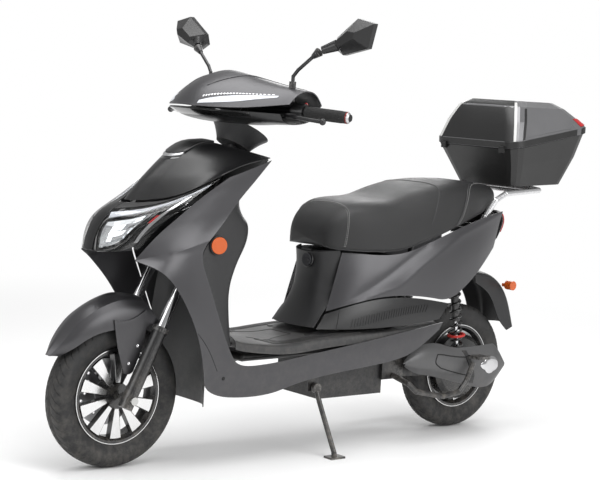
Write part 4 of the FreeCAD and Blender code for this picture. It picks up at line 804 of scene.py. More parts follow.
LAMP = [[(0.06, 0.62), (0.08, 0.72), (0.2, 0.80)],
        [(0.3, 0.60), (0.33, 0.74), (0.45, 0.85)],
        [(0.52, 0.62), (0.58, 0.76), (0.70, 0.88)]]
BEZEL_LINE = [(0.03, 0.6), (0.03, 0.6), (0.05, 0.74), (0.2, 0.83), (0.2, 0.83), (0.45, 0.87),
              (0.74, 0.9), (0.74, 0.9), (0.6, 0.76), (0.54, 0.6), (0.54, 0.6), (0.3, 0.58), (0.03, 0.6)]
GUIDE_BAND = [[(0.60, 0.60), (0.66, 0.70), (0.80, 0.84), (0.93, 0.975)],
              [(0.74, 0.575), (0.79, 0.70), (0.90, 0.85), (0.975, 0.985)]]
EDGE_BAND = [[(0.10, 0.90), (0.35, 0.915), (0.62, 0.93), (0.85, 0.955)],
             [(0.10, 0.93), (0.35, 0.945), (0.62, 0.955), (0.85, 0.97)]]
RED_BAND = [[(0.42, 0.905), (0.56, 0.912)], [(0.42, 0.922), (0.56, 0.928)]]
BROW = [[(0.02, 0.44), (0.02, 0.5), (0.02, 0.56)], [(0.4, 0.425), (0.4, 0.5), (0.4, 0.575)],
        [(0.7, 0.42), (0.72, 0.5), (0.7, 0.58)], [(0.985, 0.45), (0.985, 0.5), (0.985, 0.55)]]
TOP_LINE = [[(0.80, 0.56), (0.86, 0.70), (0.95, 0.85), (0.985, 0.985)],
            [(0.985, 0.55), (0.985, 0.70), (0.988, 0.85), (0.992, 0.985)]]


def both_inlays(outline, lift, depth):
    """An inlay of the headlight on both sides."""
    return gather(inlay(head_poles, outline, head_inside, lift, depth),
                  inlay(head_poles, swap(outline), head_inside, lift, depth))


def bezel(outline):
    """Black frame of a lamp: a tube along the smoothed outline, sunk behind the lens."""
    uv = curve(outline, 6)
    return pipe(spot(head_poles, uv) - facing(sheet(head_poles, 2), head_inside).mean((0, 1)) * 0.006,
                0.0035, 8)


back_case = slab(sheet(head_poles, 5), head_inside, -0.034, -0.036)
piece("headlight_case", back_case, GLOSS_BLACK, "root", ["headlight_housing"])
piece("headlight_bowls", gather(bowl(LAMP, 16), bowl(swap(LAMP), 16)), BOWL, "root", crease=4)
flip_line = [(u, 1 - v) for u, v in BEZEL_LINE]
piece("headlight_bezels", gather(bezel(BEZEL_LINE), bezel(flip_line)), GLOSS_BLACK, "root")
piece("light_guides", both_inlays(GUIDE_BAND, -2.6, 3), GUIDE, "root", soft=0.0006)
piece("headlight_edge_strips", both_inlays(EDGE_BAND, -2.6, 3), CHROME, "root")
piece("headlight_red_marks", both_inlays(RED_BAND, -2.2, 2), RED, "root")
brow = gather(inlay(head_poles, BROW, head_inside, 2.5, 5), both_inlays(TOP_LINE, 1.2, 4))
piece("headlight_brow", brow, SATIN, "root", soft=0.001)
piece("headlight_clear_lens", slab(sheet(head_poles, 6), head_inside, 0, -0.002), CLEAR, "root",
      ["headlight_lens"])


# ---- Leg shield, wheel arch and floor -----------------------------------------------
# Black moulded inner panels: knee-high box and side walls facing the rider, an arch over
# the front wheel, and a footboard with moulded diagonal ribs, a hatch and screw caps.
SHIELD_ROWS = [
    [(0, 446, 856), (60, 436, 856), (105, 412, 855), (128, 396, 852), (132, 384, 846)],
    [(0, 400, 800), (60, 390, 800), (112, 345, 798), (138, 318, 792), (142, 305, 788)],
    [(0, 362, 742), (60, 352, 742), (118, 300, 742), (144, 268, 740), (148, 250, 736)],
    [(0, 356, 700), (60, 350, 700), (122, 320, 698), (148, 285, 697), (154, 232, 686)],
    [(0, 358, 680), (60, 358, 678), (124, 350, 674), (152, 300, 672), (164, 172, 622)],
    [(0, 360, 626), (60, 360, 626), (124, 348, 626), (154, 290, 612), (167, 152, 590)],
    [(0, 336, 572), (60, 334, 572), (126, 310, 572), (158, 270, 556), (168, 176, 532)],
    [(0, 322, 510), (60, 320, 510), (128, 280, 510), (160, 256, 490), (168, 200, 476)],
    [(0, 322, 440), (60, 320, 440), (130, 280, 436), (160, 262, 420), (168, 226, 412)],
    [(0, 326, 372), (60, 324, 372), (132, 288, 364), (158, 276, 346), (167, 262, 336)]]
ARCH_STATIONS = [(250, 168, 92), (240, 240, 104), (240, 320, 112), (246, 410, 118), (258, 480, 122),
                 (272, 545, 124)]
shield_poles = ahead(across_rows(SHIELD_ROWS))
shield_inside = ahead((0, 150, 600))
piece("leg_shield_panel", slab(sheet(shield_poles, 7), shield_inside, 0, -WALL), PLASTIC, "root",
      ["leg_shield"])
arch_rows = [[(0, y, z), (half * 0.5, y, z), (half, y - 6, z), (half + 26, y - 30, z)]
             for y, z, half in ARCH_STATIONS]
arch_poles = ahead(across_rows(arch_rows))
piece("wheel_arch_liner", slab(sheet(arch_poles, 6), ahead((0, 400, 350)), 0, -WALL), PLASTIC, "root",
      ["wheel_arch"])

FLOOR_FRONT = [(322, 290, 360, 1.0), (345, 312, 352, 1.0), (420, 420, 338, 1.0)]
FLOOR_REAR = [(-800, -800, 334, 1.0), (-700, -700, 344, 1.0), (-600, -600, 350, 1.0),
              (-420, -420, 356, 1.0), (-225, -225, 372, 0.94)]


def floor_rows(place, stations):
    """Sections of the footboard: level in the middle, turned down at the edges."""
    rows = []
    for y_mid, y_side, z, share in stations:
        middle_y = (y_mid + y_side) / 2
        edge = (154 * share, y_side, z - 2)
        rows.append([(0, y_mid, z), (60, y_mid, z), (120, middle_y, z), edge,
                     (162 * share, y_side, z - 9), (163.5 * share, y_side, z - 28)])
    return place(across_rows(rows))


floor_poles = np.concatenate([floor_rows(ahead, FLOOR_FRONT), floor_rows(behind, FLOOR_REAR)])
floor_inside = ahead((0, 500, 0))
FLOOR_PLASTIC = finish("floor_plastic", (0.03, 0.03, 0.031), 0.5, fineness=900, depth=0.00012, dust=0.25,
                       dust_reach=0.6, wear=0.5, worn=(0.09, 0.09, 0.09))
piece("footboard", slab(sheet(floor_poles, 7), floor_inside, 0, -WALL), FLOOR_PLASTIC, "root",
      ["floorboard"])


RIB_SHARE = 0.5
# Each pad: first and last u, first and last v, number of ribs, slant in u.
TREAD_PADS = [(0.26, 0.37, 0.63, 0.79, 8, 0.03), (0.385, 0.62, 0.70, 0.79, 16, 0.02),
              (0.62, 0.80, 0.72, 0.79, 14, 0.02)]


def tread_pad(u_low, u_high, v_low, v_high, count, slant):
    """Slanted ribs over a patch of the footboard: equal parallelograms stepped along it."""
    pitch = (u_high - u_low) / count
    bars = []
    for k in range(count):
        u = u_low + k * pitch
        end = u + pitch * RIB_SHARE
        outline = [[(u, v_low), (u + slant, v_high)], [(end, v_low), (end + slant, v_high)]]
        bars.append(inlay(floor_poles, outline, floor_inside, 1.6, 2.4, steps=6))
    return bars


def footboard_ribs():
    """The tread pads of the left half, each followed by its twin at 1 - v."""
    bars = []
    for low, high, start, end, count, slant in TREAD_PADS:
        bars += tread_pad(low, high, start, end, count, slant)
        bars += tread_pad(low, high, 1 - start, 1 - end, count, slant)
    return gather(*bars)


piece("footboard_ribs", footboard_ribs(), FLOOR_PLASTIC, "root")
# The hatch's outline is drawn as a near-black tube: painted shade in its seam.
HATCH = [(0.26, 0.56), (0.26, 0.56), (0.34, 0.66), (0.34, 0.66), (0.42, 0.6), (0.55, 0.585),
         (0.55, 0.585)]
hatch = np.array(HATCH)
hatch_line = spot(floor_poles, curve(np.concatenate([hatch, hatch[::-1] * (1, -1) + (0, 1)]), 8))
piece("footboard_hatch_seam", pipe(hatch_line, 0.0011, 6), SEAM_SHADE, "root")
CAP = [(0, 1.2), (8.2, 1.2), (9.4, 0.2), (9.4, -2), (0, -2)]
caps = [turned(np.array(CAP) * MM, spot(floor_poles, np.array(uv)), (0, 0, 1), 24)
        for uv in ((0.345, 0.745), (0.345, 0.255), (0.60, 0.66), (0.60, 0.34))]
piece("footboard_caps", gather(*caps), SEAM_SHADE, "root")


# ---- Seat pedestal and its plug -----------------------------------------------------
# Black moulded front of the seat box, folded into a V below a round screw plug that
# covers the charging socket; the plug turns on its bayonet.
PEDESTAL_ROWS = [
    [(0, -648, 580), (50, -640, 582), (80, -612, 588), (91, -586, 590)],
    [(0, -641, 534), (50, -632, 534), (80, -602, 534), (91, -573, 534)],
    [(0, -652, 470), (52, -642, 470), (82, -614, 470), (93, -590, 470)],
    [(0, -669, 414), (52, -662, 414), (80, -645, 414), (92, -636, 414)],
    [(0, -700, 366), (54, -694, 366), (84, -684, 366), (97, -676, 366)]]
pedestal_poles = behind(across_rows(PEDESTAL_ROWS))
pedestal_inside = behind((0, -400, 470))
CHEVRON = behind([(0, -650, 478), (0, -610, 470), (0, -560, 500)])[:, 1:]
pedestal_skin = ridged(sheet(pedestal_poles, 10), CHEVRON, 0.0035, 0.01)
piece("pedestal_front", slab(pedestal_skin, pedestal_inside, 0, -WALL), PLASTIC, "root",
      ["seat_pedestal"])
SOCKET_RING = [(18.9, -1), (18.9, 1.2), (20.5, 2.2), (22.5, 1.6), (23.2, 0), (23.2, -2), (18.9, -2)]
socket = behind((14, -644, 556))
SOCKET_AIM = (0, -1, 0.1)
piece("socket_ring", turned(np.array(SOCKET_RING) * MM, socket, SOCKET_AIM, 48), SATIN, "root")


# ---- Rear side panels ---------------------------------------------------------------
# Painted covers from the seat box to the tail: an upper band, a dark fold, then a lighter
# band that turns in along a crease running up to the tail.
REAR_RIBS = [
    ((97, -634, 412), (95, -582, 584), 1), ((126, -590, 430), (114, -545, 584), 4),
    ((150, -500, 454), (141, -470, 578), 6), ((163, -400, 461), (156, -380, 584), 7),
    ((166, -290, 452), (163, -290, 616), 8), ((160, -188, 434), (162, -200, 648), 9),
    ((148, -92, 487), (152, -110, 674), 7), ((136, -20, 545), (142, -30, 694), 4),
    ((118, 36, 592), (126, 54, 708), 1)]
LOWER_RIBS = [
    ((103, -672, 362), (100, -640, 404), 1), ((136, -600, 362), (126, -592, 424), 2),
    ((160, -500, 364), (150, -502, 448), 3), ((166, -400, 368), (163, -402, 455), 3),
    ((168, -300, 374), (165, -292, 446), 3), ((166, -232, 381), (160, -192, 428), 2)]
FOLD = behind([(0, -575, 440), (0, -500, 486), (0, -378, 560), (0, -300, 606)])[:, 1:]
CREASE = behind([(0, -570, 436), (0, -400, 486), (0, -325, 547), (0, -160, 640), (0, 60, 705)])[:, 1:]
rear_poles = ribs(behind, REAR_RIBS)
lower_poles = ribs(behind, LOWER_RIBS)
side_inside = behind((0, -300, 500))
rear_skin = ridged(ridged(sheet(rear_poles, 10), FOLD, -0.004, 0.012), CREASE, 0.005, 0.02)
rear_panel = slab(rear_skin, side_inside, 0, -WALL)
piece("left_rear_panel", rear_panel, PAINT, "root", ["rear_side_panels"])
piece("right_rear_panel", flipped(rear_panel), PAINT, "root", ["rear_side_panels"])
lower_panel = slab(sheet(lower_poles, 8), side_inside, 0, -WALL)
piece("left_lower_panel", lower_panel, SATIN, "root", ["lower_side_panels"])
piece("right_lower_panel", flipped(lower_panel), SATIN, "root", ["lower_side_panels"])


def vent_ribs():
    """Upright ribs along the lower panel, each a thin inlay; they grow taller rearwards."""
    bars = []
    for k, u in enumerate(np.linspace(0.2, 0.86, 30)):
        top = 0.42 + 0.42 * k / 29
        outline = [[(u, top - 0.38), (u + 0.012, top)], [(u + 0.009, top - 0.38), (u + 0.021, top)]]
        bars.append(inlay(lower_poles, outline, side_inside, 1.2, 2, steps=4))
    return gather(*bars)


piece("lower_panel_ribs", both(vent_ribs()), SATIN, "root")
# Upright seam on the lower panel, drawn as a near-black tube: painted shade in the seam.
SEAM_AT = 0.105
seam_uv = np.array([[SEAM_AT, 0.02], [SEAM_AT, 0.98]])
lower_seam = pipe(spot(lower_poles, curve(seam_uv, 8)), 0.001, 6)
piece("lower_panel_seams", both(lower_seam), SEAM_SHADE, "root")


# ---- Motor cover --------------------------------------------------------------------
# Grey moulded shell over the swingarm's left side with a recessed line, a bright oval
# badge plate left blank, and a dark strap holding the motor cable.
COVER_TOP = [(-338, 252), (-300, 292), (-217, 306), (-135, 281), (-60, 280), (25, 284), (60, 288),
             (106, 224)]
COVER_LOW = [(-336, 236), (-300, 211), (-225, 200), (-135, 177), (-60, 160), (0, 144), (62, 152),
             (102, 206)]
COVER_COLUMNS = 7
COVER_BASE, COVER_SWELL = 134, 20
END_SHARE = 0.25
OVAL = [(-51, 226), (-19, 245), (76, 234), (78, 211), (47, 191), (-14, 201)]


def cover_poles():
    """Poles from the low edge to the top edge; the side grows by the square root of the
    sine across each row, less at the two ends."""
    t = np.linspace(0, 1, COVER_COLUMNS)
    rows = []
    for k, (top, low) in enumerate(zip(COVER_TOP, COVER_LOW)):
        share = END_SHARE if k in (0, len(COVER_TOP) - 1) else 1.0
        x = COVER_BASE + COVER_SWELL * share * np.sqrt(np.sin(np.pi * t).clip(0))
        yz = np.array(low) + (np.array(top) - low) * t[:, None]
        rows.append(np.column_stack([x, yz]))
    return behind(np.array(rows))


motor_poles = cover_poles()
cover_inside = behind((60, -100, 230))
GREY_PLASTIC = finish("grey_moulding", (0.10, 0.10, 0.102), 0.42, metal=0.4, fineness=1100, depth=0.00004,
                      dust=0.15)
piece("motor_shell", slab(sheet(motor_poles, 8), cover_inside, 0, -WALL), GREY_PLASTIC, "rear_arm",
      ["motor_cover"])
# The recessed line is drawn as a near-black tube over the shell: painted shade of the recess.
C_LINE = [(0.72, 0.78), (0.72, 0.78), (0.45, 0.82), (0.26, 0.72), (0.26, 0.72), (0.24, 0.4),
          (0.3, 0.26), (0.3, 0.26), (0.5, 0.22), (0.62, 0.2)]
c_path = spot(motor_poles, curve(np.array(C_LINE), 8))
piece("motor_shell_line", pipe(c_path, 0.0018, 8), SEAM_SHADE, "rear_arm")
STRAP = [[(0.60, 0.05), (0.56, 0.5), (0.5, 0.95)], [(0.64, 0.05), (0.6, 0.5), (0.54, 0.95)]]
piece("motor_cable_strap", inlay(motor_poles, STRAP, cover_inside, 2.2, 4), PLASTIC, "rear_arm",
      soft=0.0006)


PLATE_SHARE = 0.62


def oval_badge():
    """Blank bright plate: a closed curve through the outline, drawn in towards its middle."""
    corners = np.array(OVAL)
    loop = np.concatenate([corners, corners[:1]]).astype(float)
    t = np.linspace(0, 2 * np.pi, 49)[:-1]
    centre = corners.mean(0)
    spread = loop[:-1] - centre
    turn = np.arctan2(spread[:, 1], spread[:, 0])
    order = np.argsort(turn)
    lengths = np.linalg.norm(spread, axis=1)[order]
    reach = np.interp(np.mod(t + np.pi, 2 * np.pi) - np.pi, turn[order], lengths, period=2 * np.pi)
    rim = centre + np.column_stack([np.cos(t), np.sin(t)]) * reach[:, None] * PLATE_SHARE
    rings = [centre + (rim - centre) * k for k in (0.02, 0.5, 0.92, 1.0, 1.0)]
    xs = (156.6, 156.6, 156.2, 155.2, 152.5)
    grid = np.array([np.column_stack([np.full(len(t), x), ring]) for x, ring in zip(xs, rings)])
    faces = grid_faces(len(rings), len(t), False, True).tolist()
    last = (len(rings) - 1) * len(t)
    faces += [list(range(len(t)))[::-1], [last + k for k in range(len(t))]]
    return behind(grid.reshape(-1, 3)), faces


piece("motor_badge_plate", oval_badge(), CHROME, "rear_arm")


# ---- Seat ---------------------------------------------------------------------------
# Two-step foam pad in black leatherette, stapled over its base: a lower rider's part, a
# step up to the passenger's, stitched seams across the nose and piping along the sides.
SEAT_STATIONS = [
    (-642, 66, 608, 640), (-632, 90, 600, 664), (-612, 108, 597, 692), (-580, 124, 595, 718),
    (-545, 138, 593, 733), (-490, 150, 592, 738), (-400, 158, 594, 742), (-315, 163, 618, 770),
    (-230, 164, 645, 790), (-120, 148, 680, 800), (-20, 118, 706, 796), (45, 92, 724, 788),
    (80, 66, 738, 768)]
SEAT_LEATHER = finish("seat_leather", (0.008, 0.008, 0.0085), 0.48, fineness=1400, depth=0.0003, mottle=0.12,
                      dust=0.08, Coat_Weight=0.08, Coat_Roughness=0.4)
THREAD = finish("white_thread", (0.4, 0.4, 0.39), 0.6, fineness=2500)
PIPING = finish("seat_piping", (0.02, 0.02, 0.021), 0.42, fineness=1800)


def seat_rows():
    """Closed loops across the seat, from under the middle round each side: flat underneath,
    round at the shoulders, crowned on top; pulled to a point at both ends."""
    rows = []
    for y, half, low, high in SEAT_STATIONS:
        corner, crown = (high - low) * 0.5, (high - low) * 0.12
        side = [(0, low), (half * 0.7, low - 2), (half * 1.0, low - 2),
                (half * 1.02, low + corner * 0.2), (half, high - crown - corner * 0.35),
                (half * 0.8, high - crown * 0.3), (half * 0.36, high), (0, high)]
        loop = side + [(-x, z) for x, z in side[-2::-1]]
        rows.append([(x, y, z) for x, z in loop])
    rows = np.array(rows, float)
    nose, tail = rows[:1].mean(1, keepdims=True), rows[-1:].mean(1, keepdims=True)
    nose[..., 1] -= 4
    tail[..., 1] += 6
    ends = [np.broadcast_to(nose, rows[:1].shape), np.broadcast_to(tail, rows[:1].shape)]
    return behind(np.concatenate([ends[0], rows, ends[1]]))


seat_poles = seat_rows()


def grid_solid(points):
    """The grid's quads as a closed surface; meeting rows and columns are welded later."""
    rows, columns = points.shape[:2]
    return points.reshape(-1, 3), grid_faces(rows, columns, False, False).tolist()


seat_surface = sheet(seat_poles, 12)
seat_cover = piece("seat_cover", grid_solid(seat_surface), SEAT_LEATHER, "seat",
                   ["seat_pad"], crease=60)


UV_STEP = 0.002


def on_seat(line, lift):
    """Points on the seat's cover along smoothed (u, v) poles, lifted off it."""
    uv = curve(np.array(line, float), 16)
    here = spot(seat_poles, uv)

    def change(step):
        """Difference of the cover's points one step ahead and one step back."""
        return spot(seat_poles, np.clip(uv + step, 0, 1)) - spot(seat_poles, np.clip(uv - step, 0, 1))

    along, around = change(np.array((UV_STEP, 0))), change(np.array((0, UV_STEP)))
    normal = np.cross(around, along)
    normal /= np.linalg.norm(normal, axis=1, keepdims=True)
    outwards = here - behind((0, -300, 680))
    normal *= np.sign(np.einsum("ij,ij->i", normal, outwards))[:, None]
    return here + normal * lift


def stitches(line, pitch=0.0065, share=0.6, radius=0.0005):
    """Short threads laid end to end along a line, each a thin tube."""
    steps = np.linalg.norm(np.diff(line, axis=0), axis=1)
    length = np.concatenate([[0], np.cumsum(steps)])
    starts = np.arange(0, length[-1] - pitch, pitch)
    threads = []
    for start in starts:
        reach = start + np.array([0, 0.5, 1]) * pitch * share
        points = np.column_stack([np.interp(reach, length, line[:, axis]) for axis in range(3)])
        threads.append(pipe(points, radius, 5))
    return gather(*threads)


NOSE_SEAM = [(0.235, 0.17), (0.25, 0.25), (0.285, 0.36), (0.305, 0.44), (0.31, 0.5)]
nose_half = np.array(NOSE_SEAM)
nose_line = np.concatenate([nose_half, nose_half[-2::-1] * (1, -1) + (0, 1)])
STEP_LINE = [(0.60, 0.22), (0.635, 0.30), (0.655, 0.38), (0.66, 0.44), (0.66, 0.5)]
step_half = np.array(STEP_LINE)
step_line = np.concatenate([step_half, step_half[-2::-1] * (1, -1) + (0, 1)])
SIDE_PIPING = [(0.69, 0.15), (0.72, 0.24), (0.745, 0.33), (0.80, 0.37), (0.88, 0.38), (0.955, 0.39)]
side_piping = np.array(SIDE_PIPING)


def twins(line):
    """A line on the left of the cover and its mirror image, v becoming 1 - v."""
    return line, line * (1, -1) + (0, 1)


seams = [pipe(on_seat(nose_line, -0.0002), 0.0014, 8), pipe(on_seat(step_line, -0.0004), 0.0018, 8)]
seams += [pipe(on_seat(line, 0.0004), 0.0024, 8) for line in twins(side_piping)]
LOWER_HEM = [(0.06, 0.13), (0.2, 0.12), (0.4, 0.11), (0.6, 0.11), (0.8, 0.11), (0.95, 0.12)]
lower_hem = np.array(LOWER_HEM)
seams += [pipe(on_seat(line, 0.0002), 0.0022, 8) for line in twins(lower_hem)]
piece("seat_seams", gather(*seams), PIPING, "seat")
threads = [stitches(on_seat(nose_line + (offset, 0), 0.0003)) for offset in (-0.0045, 0.0045)]
threads += [stitches(on_seat(line, 0.0003)) for line in twins(side_piping + (0.006, -0.004))]
piece("seat_stitches", gather(*threads), THREAD, "seat")


# ---- Handlebar cowl -----------------------------------------------------------------
# Painted wing over the handlebar with a raised visor, a black lower half, white light
# guides out to the wing tips and a dark lens strip across the front.
TOP_LINES = {
    0: ((172, 205, 265, 335, 372, 455, 530, 552), (996, 1043, 1080, 1102, 1092, 1068, 1040, 1000)),
    60: ((180, 215, 275, 345, 385, 455, 530, 550), (994, 1036, 1070, 1092, 1083, 1062, 1036, 1000)),
    120: ((222, 255, 305, 365, 410, 465, 525, 543), (993, 1026, 1053, 1072, 1070, 1056, 1030, 999)),
    180: ((290, 315, 350, 390, 430, 470, 508, 524), (998, 1020, 1040, 1058, 1058, 1046, 1022, 999)),
    232: ((372, 385, 402, 425, 448, 466, 480, 488), (1012, 1026, 1040, 1050, 1050, 1042, 1026, 1012))}
BOTTOM_LINES = {
    0: ((174, 206, 290, 400, 500, 550), (988, 966, 950, 944, 950, 990)),
    60: ((182, 214, 292, 400, 500, 548), (987, 966, 950, 944, 951, 990)),
    120: ((224, 250, 310, 400, 490, 541), (985, 968, 955, 950, 958, 990)),
    180: ((292, 308, 345, 400, 480, 521), (985, 968, 956, 952, 960, 990)),
    222: ((350, 358, 376, 405, 455, 492), (984, 966, 957, 955, 963, 984))}


def wing_poles(lines):
    """Rows from front to back, each from the middle out, read off the fore-and-aft lines."""
    count = len(lines[0][0])
    rows = [[(x, ys[k], zs[k]) for x, (ys, zs) in lines.items()] for k in range(count)]
    return ahead(across_rows(rows))


cowl_top, cowl_low = wing_poles(TOP_LINES), wing_poles(BOTTOM_LINES)
cowl_inside = ahead((0, 400, 1010))
VISOR_RIDGE = [[(0.14, 0.60), (0.30, 0.66), (0.50, 0.70), (0.64, 0.80), (0.60, 0.97)],
               [(0.17, 0.60), (0.33, 0.66), (0.53, 0.70), (0.68, 0.80), (0.66, 0.97)]]
WING_GUIDE = [[(0.012, 0.64), (0.03, 0.76), (0.06, 0.87), (0.13, 0.955)],
              [(0.03, 0.64), (0.085, 0.76), (0.14, 0.87), (0.17, 0.955)]]
LENS_STRIP = [[(0.012, 0.40), (0.012, 0.5), (0.012, 0.60)], [(0.13, 0.38), (0.14, 0.5), (0.13, 0.62)]]
LENS_SIDE = [[(0.012, 0.60), (0.012, 0.75), (0.012, 0.90)], [(0.13, 0.62), (0.12, 0.75), (0.10, 0.90)]]
DASHES = 22
piece("cowl_wing", slab(sheet(cowl_top, 9), cowl_inside, 0, -WALL), PAINT, "steering",
      ["bar_cowl"])
piece("cowl_lower_half", slab(sheet(cowl_low, 7), cowl_inside, 0, -WALL), SATIN, "steering",
      ["bar_cowl"])


def on_both(poles, outline, inside, lift, depth):
    """An inlay and its twin on the panel's other half."""
    return gather(inlay(poles, outline, inside, lift, depth),
                  inlay(poles, swap(outline), inside, lift, depth))


piece("cowl_visor_edges", on_both(cowl_top, VISOR_RIDGE, cowl_inside, 1.8, 3), PAINT, "steering",
      soft=0.0012)
piece("cowl_light_guides", on_both(cowl_top, WING_GUIDE, cowl_inside, 1.4, 3), GUIDE, "steering",
      soft=0.0006)
lens_strip = gather(inlay(cowl_low, LENS_STRIP, cowl_inside, 1.2, 2.5),
                    on_both(cowl_low, LENS_SIDE, cowl_inside, 1.2, 2.5))
piece("cowl_lens_strip", lens_strip, GLOSS_BLACK, "steering", soft=0.0005)


def wing_dashes():
    """Row of short bright dashes just above the light guide."""
    marks = []
    for v in np.linspace(0.64, 0.93, DASHES):
        u = 0.055 + 0.13 * (v - 0.64) / 0.29
        outline = [[(u, v), (u, v + 0.008)], [(u + 0.012, v), (u + 0.012, v + 0.008)]]
        marks.append(on_both(cowl_top, outline, cowl_inside, 0.7, 1.4))
    return gather(*marks)


piece("cowl_dashes", wing_dashes(), SILVER, "steering")
STEER_TILT = np.radians(26)
STEER_FOOT = ahead((0, 30, 199))
steer_line = np.array([0, np.sin(STEER_TILT), np.cos(STEER_TILT)])
NECK = [(0.0, 0.0), (0.050, 0.0), (0.052, 0.006), (0.060, 0.02), (0.071, 0.036), (0.086, 0.053),
        (0.083, 0.053), (0.0, 0.04)]
NECK_START = 0.762
neck = turned(np.array(NECK), STEER_FOOT + steer_line * NECK_START, steer_line, 56)
piece("cowl_neck", neck, PLASTIC, "steering", ["bar_cowl"])


# ---- Bars, grips, levers and mirrors -------------------------------------------------
# Rubber grips with patterned bar ends, cast switch pods with small coloured buttons,
# ball-ended levers, and black faceted mirrors on bent arms.
GRIP_RUBBER = finish("grip_rubber", (0.01, 0.01, 0.01), 0.7, fineness=500, depth=0.0007, mottle=0.2)
SILVER_ALLOY = finish("silver_alloy", (0.55, 0.55, 0.56), 0.35, metal=1.0, fineness=1200, depth=0.00002)
RUST_RED = finish("bar_end_inlay", (0.22, 0.035, 0.03), 0.35, metal=0.5, fineness=300)
dress(GRIP_RUBBER, "left_grip", "throttle_grip")
dress(SATIN, "switch_pods", "left_lever", "right_lever")
dress(RED, "horn_button")
GRIP_START, GRIP_AIM = ahead((190, 417.6, 994.4)), ahead((350, 487, 984.7))
grip_run = (GRIP_AIM - GRIP_START) / np.linalg.norm(GRIP_AIM - GRIP_START)
GRIP_LENGTH = (0.044, 0.166)


def grip_rings():
    """Rows of fine ribs round the grip."""
    profile = []
    for k, place in enumerate(np.linspace(GRIP_LENGTH[0] + 0.012, GRIP_LENGTH[1] - 0.014, 25)):
        profile += [(0.0166, place - 0.0012), (0.0172, place - 0.0006), (0.0172, place + 0.0006),
                    (0.0166, place + 0.0012)]
    profile = [(0.0162, GRIP_LENGTH[0] + 0.010)] + profile + [(0.0162, GRIP_LENGTH[1] - 0.012)]
    return profile


BAR_END = [(0, 0.1664), (0.0155, 0.1664), (0.0162, 0.169), (0.0150, 0.1735), (0.0110, 0.1772),
           (0.0, 0.1782)]
END_RING = [(0.0163, 0.1672), (0.01665, 0.1680), (0.01665, 0.1702), (0.0160, 0.1712), (0.0155, 0.1690)]
left_ribs = turned(np.array(grip_rings()), GRIP_START, grip_run, 40)
piece("left_grip_ribs", left_ribs, GRIP_RUBBER, "steering")
piece("throttle_grip_ribs", flipped(left_ribs), GRIP_RUBBER, "throttle")
left_end = turned(np.array(BAR_END), GRIP_START, grip_run, 32)
piece("left_bar_end", left_end, SILVER_ALLOY, "steering")
piece("throttle_bar_end", flipped(left_end), SILVER_ALLOY, "throttle")
end_ring = turned(np.array(END_RING), GRIP_START, grip_run, 32)
piece("left_end_ring", end_ring, RUST_RED, "steering")
piece("throttle_end_ring", flipped(end_ring), RUST_RED, "throttle")
DASH_GLASS = finish("display_glass", (0.008, 0.010, 0.014), 0.06, fineness=60, depth=0.0, Coat_Weight=0.5)
dress(DASH_GLASS, "dash_display")
dress(SATIN, "left_mirror_head", "right_mirror_head")


# ---- Luggage case and rack ----------------------------------------------------------
# Two-part moulded case on a silver tube rack: black base, rim band, grey lid with a
# black front panel between white piping, silver-grey corner columns and red reflectors.
CASE_LID_RINGS = [(34, 389, 907, 970, 181, 46), (32, 389, 929, 992, 181, 46),
                  (48, 372, 990, 1010, 164, 50), (70, 330, 1040, 1040, 140, 50),
                  (100, 300, 1058, 1058, 110, 46)]
CORNER_STEPS, SIDE_STEPS = 10, 12


def case_ring(y_low, y_high, z_low, z_high, half, radius):
    """Level or tilted loop round the case: straight sides joined by quarter circles, from
    the middle of the rear side round by the left; the height runs evenly from front to rear."""
    points = []
    turn = np.linspace(0, np.pi / 2, CORNER_STEPS)
    for quarter, (sx, sy) in enumerate(((1, 1), (-1, 1), (-1, -1), (1, -1))):
        angle = turn + quarter * np.pi / 2
        cx = sx * (half - radius)
        cy = y_high - radius if sy > 0 else y_low + radius
        points.append(np.column_stack([cx + radius * np.cos(angle), cy + radius * np.sin(angle)]))
    corners = np.concatenate(points)
    ends = np.roll(corners, -1, 0)
    long_run = np.linalg.norm(ends - corners, axis=1) > radius * 0.3
    parts = []
    for point, end, is_side in zip(corners, ends, long_run):
        share = np.linspace(0, 1, SIDE_STEPS, endpoint=False)[:, None] if is_side else np.zeros((1, 1))
        parts.append(point + (end - point) * share)
    loop = np.concatenate(parts)
    lift = z_low + (z_high - z_low) * (loop[:, 1] - y_low) / (y_high - y_low)
    return np.column_stack([loop, lift])


def lid_patch(low, high, start, end, lift, depth=2.0, rows=9):
    """Slab over part of the lid: its height runs from `low` to `high` counted in rings, and
    it goes round from `start` to `end` in shares of a loop."""
    loops = np.array([case_ring(*ring) for ring in CASE_LID_RINGS])
    count = loops.shape[1]
    height = np.linspace(low, high, rows)
    base = np.minimum(height.astype(int), len(loops) - 2)
    share = (height - base)[:, None, None]
    columns = np.arange(int(start * count), int(end * count) + 1) % count
    points = loops[base][:, columns] * (1 - share) + loops[base + 1][:, columns] * share
    return slab(behind(points), behind((0, 200, 940)), lift * MM, (lift - depth) * MM)


CASE_BLACK = finish("case_black", (0.012, 0.012, 0.012), 0.38, fineness=1500, depth=0.00006, mottle=0.06,
                    dust=0.08)
CASE_GREY = finish("case_grey", (0.17, 0.17, 0.175), 0.3, metal=0.5, fineness=1400, depth=0.00002,
                   Coat_Weight=0.35, Coat_Roughness=0.12)
WHITE = finish("white_piping", (0.55, 0.55, 0.54), 0.4, fineness=900, depth=0.00004)
TAIL_RED = finish("red_reflector", (0.42, 0.012, 0.014), 0.14, fineness=260, depth=0.0002, mottle=0.25)
dress(CASE_BLACK, "topcase_base")
dress(CASE_GREY, "topcase_lid")
SILVER_TUBE = finish("silver_tube", (0.72, 0.72, 0.73), 0.26, metal=0.9, fineness=1300, depth=0.00002)
dress(SILVER_TUBE, "rear_rack")
FRONT_PANEL = (0.584, 0.800)
REAR_CORNERS = ((0.0, 0.062), (0.295, 0.357))
SIDE_PANELS = ((0.868, 0.988), (0.370, 0.490))
CORNER_SEAMS = ((0.855, 0.868), (0.489, 0.502))
